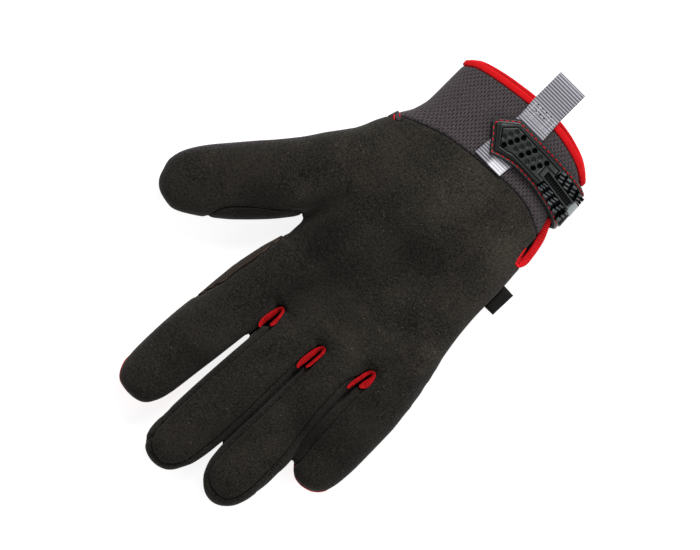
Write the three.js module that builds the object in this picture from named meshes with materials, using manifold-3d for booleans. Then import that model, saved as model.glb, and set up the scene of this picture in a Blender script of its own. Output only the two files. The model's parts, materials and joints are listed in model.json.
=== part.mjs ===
// A right-hand utility work glove, lying on its back with the palm up.
// Units are millimetres. +Y runs from the cuff to the fingertips, +X to the thumb's side, +Z out of the palm.
// The origin is on the flat of the glove's back, where it rests.

import * as THREE from 'three';
import { ParametricGeometry } from 'three/addons/geometries/ParametricGeometry.js';
import { mergeVertices } from 'three/addons/utils/BufferGeometryUtils.js';
import Module from 'manifold-3d';

const wasm = await Module();
wasm.setup();

// Driving sizes
const WALL = 1.7;                 // suede or knit with its turned edge
const GAP = 0.3;                  // clearance that pieces keep to each other
const PROUD = 0.5;                // how far a bound edge stands out of the panels
const ROUNDNESS = 2.35;           // exponent of the rounded cross-sections, 2 is an ellipse
const SEAM_HEIGHT = 10;           // the seam between palm and back, above the floor
const THUMB_SEAM_LIFT = 8;        // how much higher that seam runs on the thumb's outer edge
const BINDING_WIDTH = 3.4;        // red tape round the cuff's mouth
const RIM_LEAN = 0.09;            // how far the back's rim reaches past the palm's, per mm of height
const RIM_MIDDLE = 16;            // the height that the mouth's edge is drawn at
const REACH = 300;                // how far the cutting blocks reach, past the glove
const ABOVE = 60;                 // their top
const BELOW = -20;                // their underside
const MERGE = 1e-4;

// The seam between palm and back climbs the thumb's outer edge over this width, between two places along it
const SEAM_RISE = { width: 16, from: -20, to: 12 };
// The block under that seam: its size, its middle, and how many faces its top has
const SEAM_BLOCK = { wide: 220, long: 280, deep: 80, x: 30, y: 10, columns: 11, rows: 10 };

const OUTER_SIDES = { body: 22, finger: 14 };
const INNER_SIDES = { body: 14, finger: 10 };

// Cross-sections of the hand and cuff, from the mouth to the finger roots
const BODY_ROWS = [
  { y: -106, left: -24, right: 45.4, low: 1.0, high: 27.6 },
  { y: -98, left: -28.5, right: 45.7, low: 1.2, high: 28.4 },
  { y: -92, left: -30.4, right: 46, low: 1.8, high: 28.8 },
  { y: -85, left: -31.8, right: 46.1, low: 2.4, high: 29 },
  { y: -75, left: -32.4, right: 46.1, low: 2.6, high: 29.2 },
  { y: -66, left: -33, right: 46.2, low: 1.8, high: 29.6 },
  { y: -58, left: -35, right: 48, low: 0.4, high: 30.2 },
  { y: -50, left: -37.4, right: 52.4, low: -1, high: 30.6 },
  { y: -38, left: -38.6, right: 57, low: -1.4, high: 30.6 },
  { y: -20, left: -39.5, right: 58, low: -1.4, high: 30 },
  { y: 0, left: -40.5, right: 52.5, low: -1.4, high: 28.4 },
  { y: 13, left: -42.6, right: 48.2, low: -1.4, high: 27 },
  { y: 28, left: -46.2, right: 49.6, low: -1, high: 25.2 },
  { y: 38, left: -47.2, right: 52, low: 0.6, high: 22 },
];

// Cross-sections of each finger, from its root inside the hand to its tip
const PINKY_ROWS = [
  { y: 30, left: -46.6, right: -20, low: 0.4, high: 22.8 },
  { y: 40.6, left: -48.2, right: -21.8, low: 0.4, high: 22.6 },
  { y: 43, left: -48.6, right: -23.9, low: 0.4, high: 22.4 },
  { y: 56, left: -49.9, right: -23, low: 0.6, high: 21.8 },
  { y: 78, left: -50.3, right: -22.9, low: 0.8, high: 20.8 },
  { y: 88, left: -49.8, right: -24.4, low: 1.2, high: 19.8 },
  { y: 94.5, left: -48.6, right: -26.2, low: 2, high: 18.4 },
  { y: 98.5, left: -46.4, right: -28.6, low: 3.2, high: 16.8 },
  { y: 101.2, left: -43, right: -31.6, low: 5, high: 14.6 },
  { y: 102.6, left: -37.2, right: -36, low: 9, high: 10.4 },
];
const RING_ROWS = [
  { y: 30, left: -24.4, right: 5, low: 0.4, high: 24.4 },
  { y: 40.6, left: -24.6, right: 5, low: 0.4, high: 24.4 },
  { y: 43, left: -23.2, right: 5, low: 0.4, high: 24.4 },
  { y: 48.4, left: -22.8, right: 3.6, low: 0.4, high: 24.2 },
  { y: 51, left: -22.5, right: 0.2, low: 0.4, high: 24 },
  { y: 70, left: -22.1, right: 0, low: 0.6, high: 23.4 },
  { y: 86, left: -23, right: 0.1, low: 0.8, high: 22.8 },
  { y: 100, left: -26.8, right: 0.6, low: 1, high: 22.2 },
  { y: 112, left: -26.9, right: 1, low: 1.2, high: 21.4 },
  { y: 123, left: -25.5, right: 0.4, low: 2, high: 20.2 },
  { y: 130, left: -23.4, right: -2, low: 3.2, high: 18.6 },
  { y: 135, left: -19.4, right: -6.4, low: 5.2, high: 16 },
  { y: 137.4, left: -14, right: -12, low: 9.6, high: 11.2 },
];
const MIDDLE_ROWS = [
  { y: 30, left: -3, right: 30, low: 0.4, high: 24.8 },
  { y: 48.4, left: -2, right: 30, low: 0.4, high: 24.6 },
  { y: 51, left: 0.9, right: 26.2, low: 0.4, high: 24.4 },
  { y: 61, left: 0.8, right: 27.2, low: 0.4, high: 24.2 },
  { y: 72, left: 0.7, right: 27.8, low: 0.6, high: 23.8 },
  { y: 106, left: 1.7, right: 29.6, low: 1, high: 22.6 },
  { y: 120, left: 2.6, right: 30.2, low: 1.2, high: 21.6 },
  { y: 130, left: 4.3, right: 30.3, low: 2.2, high: 20.2 },
  { y: 137, left: 7.4, right: 28.8, low: 3.4, high: 18.6 },
  { y: 141.4, left: 10.8, right: 25.2, low: 5.4, high: 16 },
  { y: 143.6, left: 17, right: 19, low: 9.6, high: 11.4 },
];
const INDEX_ROWS = [
  { y: 28, left: 24, right: 49.6, low: 0.6, high: 24 },
  { y: 38, left: 24.4, right: 53, low: 0.4, high: 24.4 },
  { y: 48.4, left: 25, right: 55.3, low: 0.4, high: 24.4 },
  { y: 51, left: 26.9, right: 55.9, low: 0.4, high: 24.2 },
  { y: 61, left: 27.9, right: 56.8, low: 0.6, high: 23.8 },
  { y: 72, left: 28.6, right: 58, low: 0.6, high: 23.4 },
  { y: 82, left: 29.9, right: 59.4, low: 0.8, high: 22.8 },
  { y: 108, left: 33.6, right: 60.9, low: 1.4, high: 21.2 },
  { y: 118, left: 35.5, right: 60.4, low: 2.2, high: 19.8 },
  { y: 124, left: 38, right: 58.4, low: 3.4, high: 18.2 },
  { y: 127.4, left: 41, right: 55.4, low: 5.2, high: 15.8 },
  { y: 129, left: 47, right: 49, low: 9.4, high: 11 },
];

// The thumb is drawn along its own axis: how far along it, its outer and inner edges across it, low and high
const THUMB_ROOT = { x: 46, y: -18 };
const THUMB_ANGLE = THREE.MathUtils.degToRad(47.5);
const THUMB_ROWS = [
  { along: -30, outer: -10, inner: 8, low: 5, high: 22 },
  { along: -16, outer: -22.6, inner: 12, low: 2, high: 28 },
  { along: 0, outer: -20.6, inner: 14, low: 0.8, high: 29.4 },
  { along: 14, outer: -19, inner: 16.5, low: 0.6, high: 29 },
  { along: 26, outer: -17.4, inner: 19, low: 0.6, high: 28.2 },
  { along: 42, outer: -16.6, inner: 20, low: 0.8, high: 27.2 },
  { along: 57, outer: -16.2, inner: 19.5, low: 1, high: 26 },
  { along: 69, outer: -15.6, inner: 18, low: 1.4, high: 24.6 },
  { along: 79, outer: -13.8, inner: 15.8, low: 2.4, high: 22.6 },
  { along: 86, outer: -10.2, inner: 13, low: 4, high: 20.2 },
  { along: 90, outer: -4.6, inner: 7.8, low: 6.4, high: 17.2 },
  { along: 91.8, outer: 0.6, inner: 2.6, low: 10.6, high: 12.6 },
];

// Seams and edges, drawn as seen from above
const SUEDE_EDGE = [
  [-70, -48], [-38, -54], [-31.5, -57.5], [-25, -60.5], [-20, -62], [-10, -63], [0, -62.2],
  [10, -61.2], [20, -60], [30, -58.3], [40, -55], [50, -51], [56, -47], [140, -38],
];
const MOUTH_EDGE = [
  [-60, -76], [-34, -85.5], [-31, -89.5], [-26, -93.6], [-20, -96.5], [-10, -99.1], [0, -100.1],
  [12, -100.1], [20, -99.2], [30, -97.6], [40, -95], [44.5, -92.2], [48, -89.5], [70, -78],
];
const FINGER_SEAM = [
  [-90, -70], [-90, 125], [-31, 125], [-29.5, 95], [-28.5, 85], [-27.5, 70], [-27, 55], [-26.6, 44],
  [-24, 38.4], [-21.4, 44], [-19, 55], [-19.6, 75], [-21.6, 90], [-22.8, 100], [-22.6, 122],
  [-19, 131], [-13, 133.4], [-7, 132], [-3.2, 128], [-1.6, 120], [-1.8, 100], [-2.4, 75], [-2, 55],
  [0.5, 46.6], [2.6, 55], [3.4, 75], [3.8, 100], [5.4, 122], [8, 134], [13, 140], [18, 141.2],
  [24, 139], [27.4, 133], [28, 120], [27, 100], [25.2, 80], [23.8, 62], [24, 54], [26.2, 47.2],
  [27.4, 58], [28.3, 72], [31, 94], [33, 112], [36, 150], [150, 150], [150, -70],
];
const THUMB_PATCH = [
  [50.2, 13.4], [60, 21.5], [70, 29.5], [75, 34.5], [78.5, 40], [79.5, 52], [60, 46], [53, 26],
];
const INDEX_PATCH = [
  [49.3, 28], [50.4, 35], [51.4, 45], [52.8, 52], [54, 60], [56.4, 68], [58.6, 75], [63, 75],
  [60, 50], [54, 30], [51.6, 27],
];
const INDEX_TIP = [[30.8, 100], [70, 100], [70, 140], [32, 140]];
const PINKY_TIP = [[-60, 91], [-24.8, 91], [-25.8, 94.5], [-27.4, 99], [-28, 112], [-60, 112]];
const RING_MIDLINE = -13;
const MIDDLE_MIDLINE = 18;

// The bound loops in the finger crotches: where each one sits, how long and wide it is, and the slit inside it
const CROTCH_LOOPS = [
  { name: 'crotch_loop_ring_pinky', x: -24, foot: 39.8, head: 55.4, half: 3.3, slit: 0.8, lean: 0.07 },
  { name: 'crotch_loop_middle_ring', x: 0.5, foot: 48.2, head: 64.6, half: 2.9, slit: 0.7, lean: 0 },
  { name: 'crotch_loop_index_middle', x: 26.2, foot: 49, head: 63.4, half: 3.1, slit: 0.7, lean: 0.1 },
];
const LOOP_TOP = 24;              // the height of the cloth beside them
const LOOP_DEPTH = 8;             // how far down into the crotch the tape reaches
// How each loop is rounded: where its foot ends, how wide and high the foot's corners are, and the slit's foot
const LOOP_SHAPE = { bend: 3.2, corner: 0.7, cornerRise: 0.8, slitFoot: 0.4 };

// The bound slit at the wrist, on the little finger's side
const NOTCH = [[-29.4, -66], [-31.4, -60], [-33.6, -52], [-34.7, -46], [-35, -42]];
const NOTCH_HALF = 0.8;           // half the slit's width
const NOTCH_TAPE = 2.4;           // width of the tape beside it
const NOTCH_FLOOR = 13;           // how far down the side the tape reaches
const NOTCH_HEAD = 3;             // how far the tape runs past the slit
const SLIT_HEAD = 0.4;            // how far the slit runs past its middle line
// How the band's sides lean, and how its rounded head narrows
const BAND_SHAPE = { lean: 0.25, left: 0.5, right: 0.4, rise: 0.2 };
const BINDING_EXTRA = 0.4;        // how much further in than the panels a binding reaches

// The wrist strap round the cuff: the turn from the thumb's side, its edges, and how far it stands off
const STRAP_ROWS = [
  { turn: 75.7, top: -79.4, bottom: -80.6, lift: 1.9 },
  { turn: 82.3, top: -74.1, bottom: -84.9, lift: 1.95 },
  { turn: 88.2, top: -68, bottom: -89, lift: 1.95 },
  { turn: 91.6, top: -69.2, bottom: -89, lift: 1.95 },
  { turn: 97.5, top: -70.5, bottom: -88.9, lift: 1.95 },
  { turn: 104.3, top: -71, bottom: -88.9, lift: 1.95 },
  { turn: 120.3, top: -70.5, bottom: -88.8, lift: 1.4 },
  { turn: 132, top: -69.2, bottom: -88.4, lift: 1.2 },
  { turn: 142, top: -68.3, bottom: -88.1, lift: 1.1 },
  { turn: 151, top: -67.3, bottom: -87.6, lift: 1.1 },
  { turn: 164, top: -65.8, bottom: -86.8, lift: 1.1 },
  { turn: 176, top: -64.5, bottom: -86, lift: 1.2 },
  { turn: 190, top: -63.3, bottom: -85.5, lift: 1.2 },
  { turn: 204, top: -63, bottom: -85.2, lift: 1.2 },
  { turn: 218, top: -63, bottom: -85, lift: 0.9 },
  { turn: 234, top: -63.6, bottom: -84.8, lift: 0.6 },
  { turn: 250, top: -64.4, bottom: -84.4, lift: 0.5 },
];
const BACKING_THICK = 0.9;
const PLATE_BORDER = 0.8;         // thickness of the moulded cover's stitched border
const PLATE_RISE = 1.5;           // how far the moulded middle stands out of that border
const PLATE_INSET = 0.5;          // the backing shows this much round the cover
const PLATE_END = 200;            // the cover ends at this turn, on the little finger's side
const PLATE_SHIFT = 0.8;          // how much later than the backing it starts, in degrees
const PLATE_BASE = BACKING_THICK + GAP;
const PLATE_TOP = PLATE_BASE + PLATE_BORDER + PLATE_RISE;
const BEVEL = { grip: 1, rail: 0.4 };
// The moulded middle, from the strap's point to the tread
const GRIP_ROWS = [
  { turn: 84.2, top: -79.5, bottom: -80.5 },
  { turn: 90, top: -73.4, bottom: -85.6 },
  { turn: 93.8, top: -74, bottom: -85.4 },
  { turn: 98.8, top: -75, bottom: -85.3 },
  { turn: 108.7, top: -75.2, bottom: -85.2 },
  { turn: 120.3, top: -75.4, bottom: -85 },
];
const POCKET = {
  radius: 1.2, depth: 1.2, cutter: 4, sides: 6, pitch: 3.75, rows: [-77.4, -80.2, -83], perRow: 5, start: 6.4,
  turn: 95,
};
const TREAD = { blocks: 5, firstTurn: 126, stepTurn: 13.2, width: 9.4, deep: 1.5, drift: 0.3 };
const TREAD_BANKS = [
  { y: -73.2, rows: 3, pitch: 2.05, drift: 1 },
  { y: -83.6, rows: 3, pitch: 2.05, drift: -1 },
];
const RAIL = {
  firstTurn: 122, lastTurn: 184, steps: 5, y: -78.4, half: 1.8, slot: 0.7, slotShift: 3, drop: 0.4,
};
const SIDE_STEP = 2;              // the turn, in degrees, that the cuff's slope is read over
const BAND_SIDES = 6;

// The webbing ribbon with its pull loop: its middle line seen from the side, and its sideways run
const RIBBON_LINE = [
  [-62.8, 30.75], [-66, 30.5], [-75, 30.1], [-85, 29.92], [-92, 29.75], [-95.4, 29.9], [-99.4, 29.9],
  [-105, 30], [-111, 30.1], [-115, 29.5], [-116.4, 27.3], [-115, 25], [-111, 24.2], [-105, 24.3],
  [-99.4, 24.7], [-92.6, 24.8],
];
const RIBBON_SHIFTS = [{ y: -117, x: -3.8 }, { y: -99.5, x: -3.8 }, { y: -89.5, x: -4.5 }, { y: -62, x: -1.7 }];
const RIBBON = { width: 16, thick: 1, steps: 26, end: -116.9 };

const LABEL = {
  outline: [[-45.4, -28.6], [-45, -15.6], [-40.2, -15.5], [-39.5, -28.9]], low: 13.2, high: 14.8,
};
const TAB = { outline: [[54.7, -45], [55.5, -45.4], [54.4, -48.6], [53.4, -48.5]], low: 14, high: 15.6 };

const pointAt = (x, y, z) => new THREE.Vector3(x, y, z);

function signedPower(value, power) {
  return Math.sign(value) * Math.abs(value) ** power;
}

// One point of a rounded section, drawn in by a wall thickness. It is flat where it meets the floor.
function sectionPoint(row, turn, inset) {
  const middle = (row.left + row.right) / 2;
  const centre = (row.low + row.high) / 2;
  const halfWidth = (row.right - row.left) / 2 - inset * row.squeeze;
  const halfHeight = (row.high - row.low) / 2 - inset * row.squeeze;
  const angle = turn * 2 * Math.PI;
  const across = middle + halfWidth * signedPower(Math.cos(angle), 2 / ROUNDNESS);
  const height = centre + halfHeight * signedPower(Math.sin(angle), 2 / ROUNDNESS);
  return { across, height: Math.max(height, Math.max(inset, 0)) };
}

// A closed solid through the rows, with a point at each end. place() puts a section point in space.
function loftGeometry(rows, sides, inset, place) {
  const last = rows.length + 1;
  const shape = (u, v, target) => {
    const step = Math.round(v * last);
    const row = rows[Math.min(Math.max(step - 1, 0), rows.length - 1)];
    if (step === 0 || step === last) {
      const centre = (Math.max(row.low, 0) + row.high) / 2;
      target.copy(place(row, (row.left + row.right) / 2, centre, inset));
      return;
    }
    const { across, height } = sectionPoint(row, Math.round(u * sides) % sides / sides, inset);
    target.copy(place(row, across, height, inset));
  };
  return new ParametricGeometry(shape, sides, last);
}

function volumeOf(positions, triangles) {
  let total = 0;
  const corner = [new THREE.Vector3(), new THREE.Vector3(), new THREE.Vector3()];
  for (let i = 0; i < triangles.length; i += 3) {
    corner.forEach((point, k) => point.fromArray(positions, triangles[i + k] * 3));
    total += corner[0].dot(corner[1].cross(corner[2])) / 6;
  }
  return total;
}

// Turns a closed geometry into a solid that can be joined and cut
function solidOf(geometry) {
  const bare = geometry.clone();
  bare.deleteAttribute('normal');
  bare.deleteAttribute('uv');
  const merged = mergeVertices(bare, MERGE);
  const positions = merged.attributes.position.array;
  const triangles = [];
  for (let i = 0; i < merged.index.count; i += 3) {
    const [a, b, c] = [0, 1, 2].map((k) => merged.index.getX(i + k));
    if (a !== b && b !== c && c !== a) triangles.push(a, b, c);
  }
  if (volumeOf(positions, triangles) < 0) triangles.reverse();
  return new wasm.Manifold(new wasm.Mesh({
    numProp: 3,
    vertProperties: new Float32Array(positions),
    triVerts: new Uint32Array(triangles),
  }));
}

function join(solids) {
  return solids.reduce((whole, solid) => whole.add(solid));
}

// A flat outline raised to a block between two heights
function block(outline, low, high) {
  const shape = new THREE.Shape(outline.map(([x, y]) => new THREE.Vector2(x, y)));
  const geometry = new THREE.ExtrudeGeometry(shape, { depth: high - low, bevelEnabled: false });
  geometry.translate(0, 0, low);
  return solidOf(geometry);
}

// Moves each side of a closed outline outwards by a distance, or inwards if it is negative
function offsetOutline(outline, distance) {
  const points = outline.map(([x, y]) => new THREE.Vector2(x, y));
  const turn = THREE.ShapeUtils.isClockWise(points) ? -1 : 1;
  return points.map((point, i) => {
    const before = points[(i + points.length - 1) % points.length];
    const after = points[(i + 1) % points.length];
    const inward = point.clone().sub(before).normalize();
    const outward = after.clone().sub(point).normalize();
    const first = new THREE.Vector2(inward.y, -inward.x);
    const second = new THREE.Vector2(outward.y, -outward.x);
    const both = first.clone().add(second).normalize();
    const reach = distance * turn / Math.max(both.dot(first), 0.5);
    return [point.x + both.x * reach, point.y + both.y * reach];
  });
}

// The side of an open line that lies towards +Y or -Y, as a closed outline
function sideOf(line, towards) {
  return [...line, [line.at(-1)[0], towards * REACH], [line[0][0], towards * REACH]];
}

function shiftLine(line, distance) {
  return line.map(([x, y]) => [x, y + distance]);
}

// The hand's tubes. A wall thickness draws them in, a negative one lets them out.
function sidesFor(kind, inset) {
  return inset > 0 ? INNER_SIDES[kind] : OUTER_SIDES[kind];
}

function bodyTube(inset) {
  const rows = BODY_ROWS.map((row) => ({ ...row, squeeze: 1 }));
  const place = (row, across, height) => pointAt(across, row.y, height);
  return solidOf(loftGeometry(rows, sidesFor('body', inset), inset, place));
}

function squeezed(rows) {
  const widest = Math.max(...rows.map((row) => row.right - row.left));
  return rows.map((row) => ({ ...row, squeeze: (row.right - row.left) / widest }));
}

function fingerTube(rows, inset) {
  const root = rows[0].y;
  const shrink = (rows.at(-1).y - root - inset) / (rows.at(-1).y - root);
  const place = (row, across, height) => pointAt(across, root + (row.y - root) * shrink, height);
  return solidOf(loftGeometry(squeezed(rows), sidesFor('finger', inset), inset, place));
}

function thumbTube(inset) {
  const rows = squeezed(THUMB_ROWS.map((row) => ({ ...row, left: row.outer, right: row.inner })));
  const root = rows[0].along;
  const shrink = (rows.at(-1).along - root - inset) / (rows.at(-1).along - root);
  const place = (row, across, height) => {
    const along = root + (row.along - root) * shrink;
    const x = THUMB_ROOT.x + along * Math.cos(THUMB_ANGLE) - across * Math.sin(THUMB_ANGLE);
    const y = THUMB_ROOT.y + along * Math.sin(THUMB_ANGLE) + across * Math.cos(THUMB_ANGLE);
    return pointAt(x, y, height);
  };
  return solidOf(loftGeometry(rows, sidesFor('finger', inset), inset, place));
}

function wholeHand(inset) {
  const fingers = [PINKY_ROWS, RING_ROWS, MIDDLE_ROWS, INDEX_ROWS].map((rows) => fingerTube(rows, inset));
  return join([bodyTube(inset), ...fingers, thumbTube(inset)]);
}

// The seam between palm and back rises along the thumb's outer edge
function seamHeight(x, y) {
  const alongX = x - THUMB_ROOT.x;
  const alongY = y - THUMB_ROOT.y;
  const across = -alongX * Math.sin(THUMB_ANGLE) + alongY * Math.cos(THUMB_ANGLE);
  const along = alongX * Math.cos(THUMB_ANGLE) + alongY * Math.sin(THUMB_ANGLE);
  const outward = THREE.MathUtils.smoothstep(-across, 0, SEAM_RISE.width);
  const outOfPalm = THREE.MathUtils.smoothstep(along, SEAM_RISE.from, SEAM_RISE.to);
  return SEAM_HEIGHT + THUMB_SEAM_LIFT * outward * outOfPalm;
}

// Everything below the seam surface
function belowSeam(clearance) {
  const { wide, long, deep, x, y, columns, rows } = SEAM_BLOCK;
  const geometry = new THREE.BoxGeometry(wide, long, deep, columns, rows, 1);
  geometry.translate(x, y, -deep / 2);
  const points = geometry.attributes.position;
  for (let i = 0; i < points.count; i += 1) {
    const onTop = points.getZ(i) > -deep / 2;
    if (onTop) points.setZ(i, seamHeight(points.getX(i), points.getY(i)) + clearance);
  }
  return solidOf(geometry);
}

// A block below or above an open line drawn from above, leaning with height as the cuff's rim does
function leaningBlock(line, towards) {
  const shape = new THREE.Shape(sideOf(line, towards).map(([x, y]) => new THREE.Vector2(x, y)));
  const geometry = new THREE.ExtrudeGeometry(shape, { depth: ABOVE - BELOW, bevelEnabled: false });
  geometry.translate(0, 0, BELOW);
  const lean = new THREE.Matrix4().makeShear(0, 0, 0, 0, 0, RIM_LEAN);
  geometry.applyMatrix4(lean);
  geometry.translate(0, -RIM_LEAN * RIM_MIDDLE, 0);
  return solidOf(geometry);
}

// A closed line of tape beside an open line: everything within a distance of it
function bandOutline(line, reach, beyond) {
  const [headX, headY] = line.at(-1);
  const offset = (side) => line.map(([x, y]) => [x + side * reach, y + side * reach * BAND_SHAPE.lean]);
  const head = [
    [headX - reach * BAND_SHAPE.left, headY + beyond],
    [headX + reach * BAND_SHAPE.right, headY + beyond + BAND_SHAPE.rise],
  ];
  return [...offset(-1), ...head, ...offset(1).reverse()];
}

// The tape round each finger crotch
function loopOutline(loop, margin) {
  const { x, foot, head, half, slit, lean } = loop;
  const at = (side, y) => [x + side + lean * (y - foot), y];
  const wide = half + margin;
  const narrow = slit - margin;
  const bend = foot + LOOP_SHAPE.bend;
  const corner = foot + LOOP_SHAPE.cornerRise - margin * LOOP_SHAPE.corner;
  const slitFoot = bend + LOOP_SHAPE.slitFoot + margin;
  return [
    at(-wide, head + margin), at(-wide, bend), at(-wide * LOOP_SHAPE.corner, corner), at(0, foot - margin),
    at(wide * LOOP_SHAPE.corner, corner), at(wide, bend), at(wide, head + margin),
    at(narrow, head + margin), at(narrow, slitFoot), at(-narrow, slitFoot), at(-narrow, head + margin),
  ];
}

// The cuff's cross-section at any place along it
function cuffRow(y) {
  const next = BODY_ROWS.findIndex((row) => row.y >= y);
  const [a, b] = [BODY_ROWS[next - 1], BODY_ROWS[next]];
  const share = (y - a.y) / (b.y - a.y);
  const mix = (key) => THREE.MathUtils.lerp(a[key], b[key], share);
  return { left: mix('left'), right: mix('right'), low: mix('low'), high: mix('high'), squeeze: 1 };
}

// A point that stands off the cuff's surface, at a turn in degrees from the thumb's side
function cuffPoint(turn, y, lift) {
  const row = cuffRow(y);
  const at = (degrees) => sectionPoint(row, degrees / 360, 0);
  const here = at(turn);
  const ahead = at(turn + SIDE_STEP);
  const behind = at(turn - SIDE_STEP);
  const tangent = new THREE.Vector2(ahead.across - behind.across, ahead.height - behind.height).normalize();
  return pointAt(here.across + tangent.y * lift, y, here.height - tangent.x * lift);
}

function strapLift(turn) {
  const next = Math.max(STRAP_ROWS.findIndex((row) => row.turn >= turn), 1);
  const [a, b] = [STRAP_ROWS[next - 1], STRAP_ROWS[next]];
  return THREE.MathUtils.mapLinear(turn, a.turn, b.turn, a.lift, b.lift);
}

// A band laid round the cuff through rows of turn, top and bottom, between two heights over the strap's underside
function wrappedBand(rows, low, high, bevel) {
  const last = rows.length + 1;
  const ring = (row) => {
    const edge = Math.min(bevel, (row.top - row.bottom) / 3);
    return [
      [row.bottom, low], [row.bottom, high - edge / 2], [row.bottom + edge, high],
      [row.top - edge, high], [row.top, high - edge / 2], [row.top, low],
    ];
  };
  const shape = (u, v, target) => {
    const step = Math.round(v * last);
    const row = rows[Math.min(Math.max(step - 1, 0), rows.length - 1)];
    const lift = strapLift(row.turn);
    const cap = step === 0 || step === last;
    const corner = ring(row)[Math.round(u * BAND_SIDES) % BAND_SIDES];
    const [y, height] = cap ? [(row.top + row.bottom) / 2, (low + high) / 2] : corner;
    target.copy(cuffPoint(row.turn, y, lift + height));
  };
  return solidOf(new ParametricGeometry(shape, BAND_SIDES, last));
}

// A small block moulded on the strap, bent round the cuff with it
function wrappedBlock(turn, halfTurn, y, halfDeep, low, high) {
  const geometry = new THREE.BoxGeometry(2, 2, 2);
  const points = geometry.attributes.position;
  for (let i = 0; i < points.count; i += 1) {
    const at = turn + points.getX(i) * halfTurn;
    const lift = strapLift(turn) + (points.getZ(i) > 0 ? high : low);
    const spot = cuffPoint(at, y + points.getY(i) * halfDeep, lift);
    points.setXYZ(i, spot.x, spot.y, spot.z);
  }
  return solidOf(geometry);
}

function strapBacking() {
  return wrappedBand(STRAP_ROWS, 0, BACKING_THICK, 0);
}

// One of the pockets sunk in the grip
function gripPocket(x, y) {
  const geometry = new THREE.CylinderGeometry(POCKET.radius, POCKET.radius, POCKET.cutter, POCKET.sides);
  geometry.rotateX(Math.PI / 2);
  const surface = cuffRow(y).high + strapLift(POCKET.turn) + PLATE_TOP;
  geometry.translate(x, y, surface - POCKET.depth + POCKET.cutter / 2);
  return solidOf(geometry);
}

// The moulded cover: its border, its raised grip, two banks of tread and the slotted rail between them
function strapPlate() {
  const inset = STRAP_ROWS.filter((row) => row.turn <= PLATE_END).map((row) => {
    const edge = Math.min(PLATE_INSET, (row.top - row.bottom) / 3);
    return { turn: row.turn + PLATE_SHIFT, top: row.top - edge, bottom: row.bottom + edge };
  });
  const border = wrappedBand(inset, PLATE_BASE, PLATE_BASE + PLATE_BORDER, 0);
  const overlap = PLATE_BASE + PLATE_BORDER / 2;
  const grip = wrappedBand(GRIP_ROWS, overlap, PLATE_TOP, BEVEL.grip);
  const pieces = [border, grip];
  for (const bank of TREAD_BANKS) {
    for (let row = 0; row < bank.rows; row += 1) {
      for (let i = 0; i < TREAD.blocks; i += 1) {
        const turn = TREAD.firstTurn + i * TREAD.stepTurn;
        const y = bank.y + (row - 1) * bank.pitch + i * TREAD.drift * bank.drift;
        pieces.push(wrappedBlock(turn, TREAD.width / 2, y, TREAD.deep / 2, overlap, PLATE_TOP));
      }
    }
  }
  const railRows = [];
  for (let i = 0; i <= RAIL.steps; i += 1) {
    const turn = THREE.MathUtils.lerp(RAIL.firstTurn, RAIL.lastTurn, i / RAIL.steps);
    railRows.push({ turn, top: RAIL.y + RAIL.half, bottom: RAIL.y - RAIL.half });
  }
  const slotRows = railRows.map((row) => ({ ...row, top: RAIL.y + RAIL.slot, bottom: RAIL.y - RAIL.slot }));
  slotRows[0].turn += RAIL.slotShift;
  slotRows.at(-1).turn += RAIL.slotShift;
  pieces.push(wrappedBand(railRows, overlap, PLATE_TOP - RAIL.drop, BEVEL.rail));
  let plate = join(pieces).subtract(wrappedBand(slotRows, PLATE_BASE + PLATE_BORDER, PLATE_TOP + 1, 0));
  POCKET.rows.forEach((y, row) => {
    for (let i = 0; i < POCKET.perRow; i += 1) {
      const x = POCKET.start - (i + (row % 2) / 2) * POCKET.pitch;
      plate = plate.subtract(gripPocket(x, y));
    }
  });
  return plate;
}

// How far the ribbon's edge has moved sideways at a place along it
function ribbonShift(y) {
  const next = Math.max(RIBBON_SHIFTS.findIndex((row) => row.y >= y), 1);
  const [a, b] = [RIBBON_SHIFTS[next - 1], RIBBON_SHIFTS[next]];
  return THREE.MathUtils.mapLinear(y, a.y, b.y, a.x, b.x);
}

function pullRibbon() {
  const curve = new THREE.CatmullRomCurve3(RIBBON_LINE.map(([y, z]) => pointAt(y, z, 0)), false, 'centripetal');
  const line = curve.getPoints(RIBBON.steps);
  const side = (sign) => line.map((point, i) => {
    const before = line[Math.max(i - 1, 0)];
    const after = line[Math.min(i + 1, line.length - 1)];
    const along = after.clone().sub(before).normalize();
    const reach = sign * RIBBON.thick / 2;
    return new THREE.Vector2(point.x - along.y * reach, point.y + along.x * reach);
  });
  const shape = new THREE.Shape([...side(1), ...side(-1).reverse()]);
  const geometry = new THREE.ExtrudeGeometry(shape, { depth: RIBBON.width, bevelEnabled: false });
  const points = geometry.attributes.position;
  for (let i = 0; i < points.count; i += 1) {
    const y = points.getX(i);
    points.setXYZ(i, points.getZ(i) + ribbonShift(Math.max(y, RIBBON.end)), y, points.getY(i));
  }
  return solidOf(geometry);
}

const parts = [];

// The triangles of a solid's largest body, without the crumbs that a cut leaves where two edges cross
function largestBody(triangles, count) {
  const body = Array.from({ length: count }, (_, i) => i);
  const find = (i) => {
    while (body[i] !== i) i = body[i];
    return i;
  };
  const corners = [];
  for (let i = 0; i < triangles.length; i += 3) corners.push([...triangles.slice(i, i + 3)]);
  for (const [a, b, c] of corners) {
    const home = Math.min(find(a), find(b), find(c));
    for (const corner of [a, b, c]) body[find(corner)] = home;
  }
  const sizes = new Map();
  for (const [a] of corners) sizes.set(find(a), (sizes.get(find(a)) ?? 0) + 1);
  const largest = [...sizes].sort((one, other) => other[1] - one[1])[0][0];
  return corners.filter(([a]) => find(a) === largest).flat();
}

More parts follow.
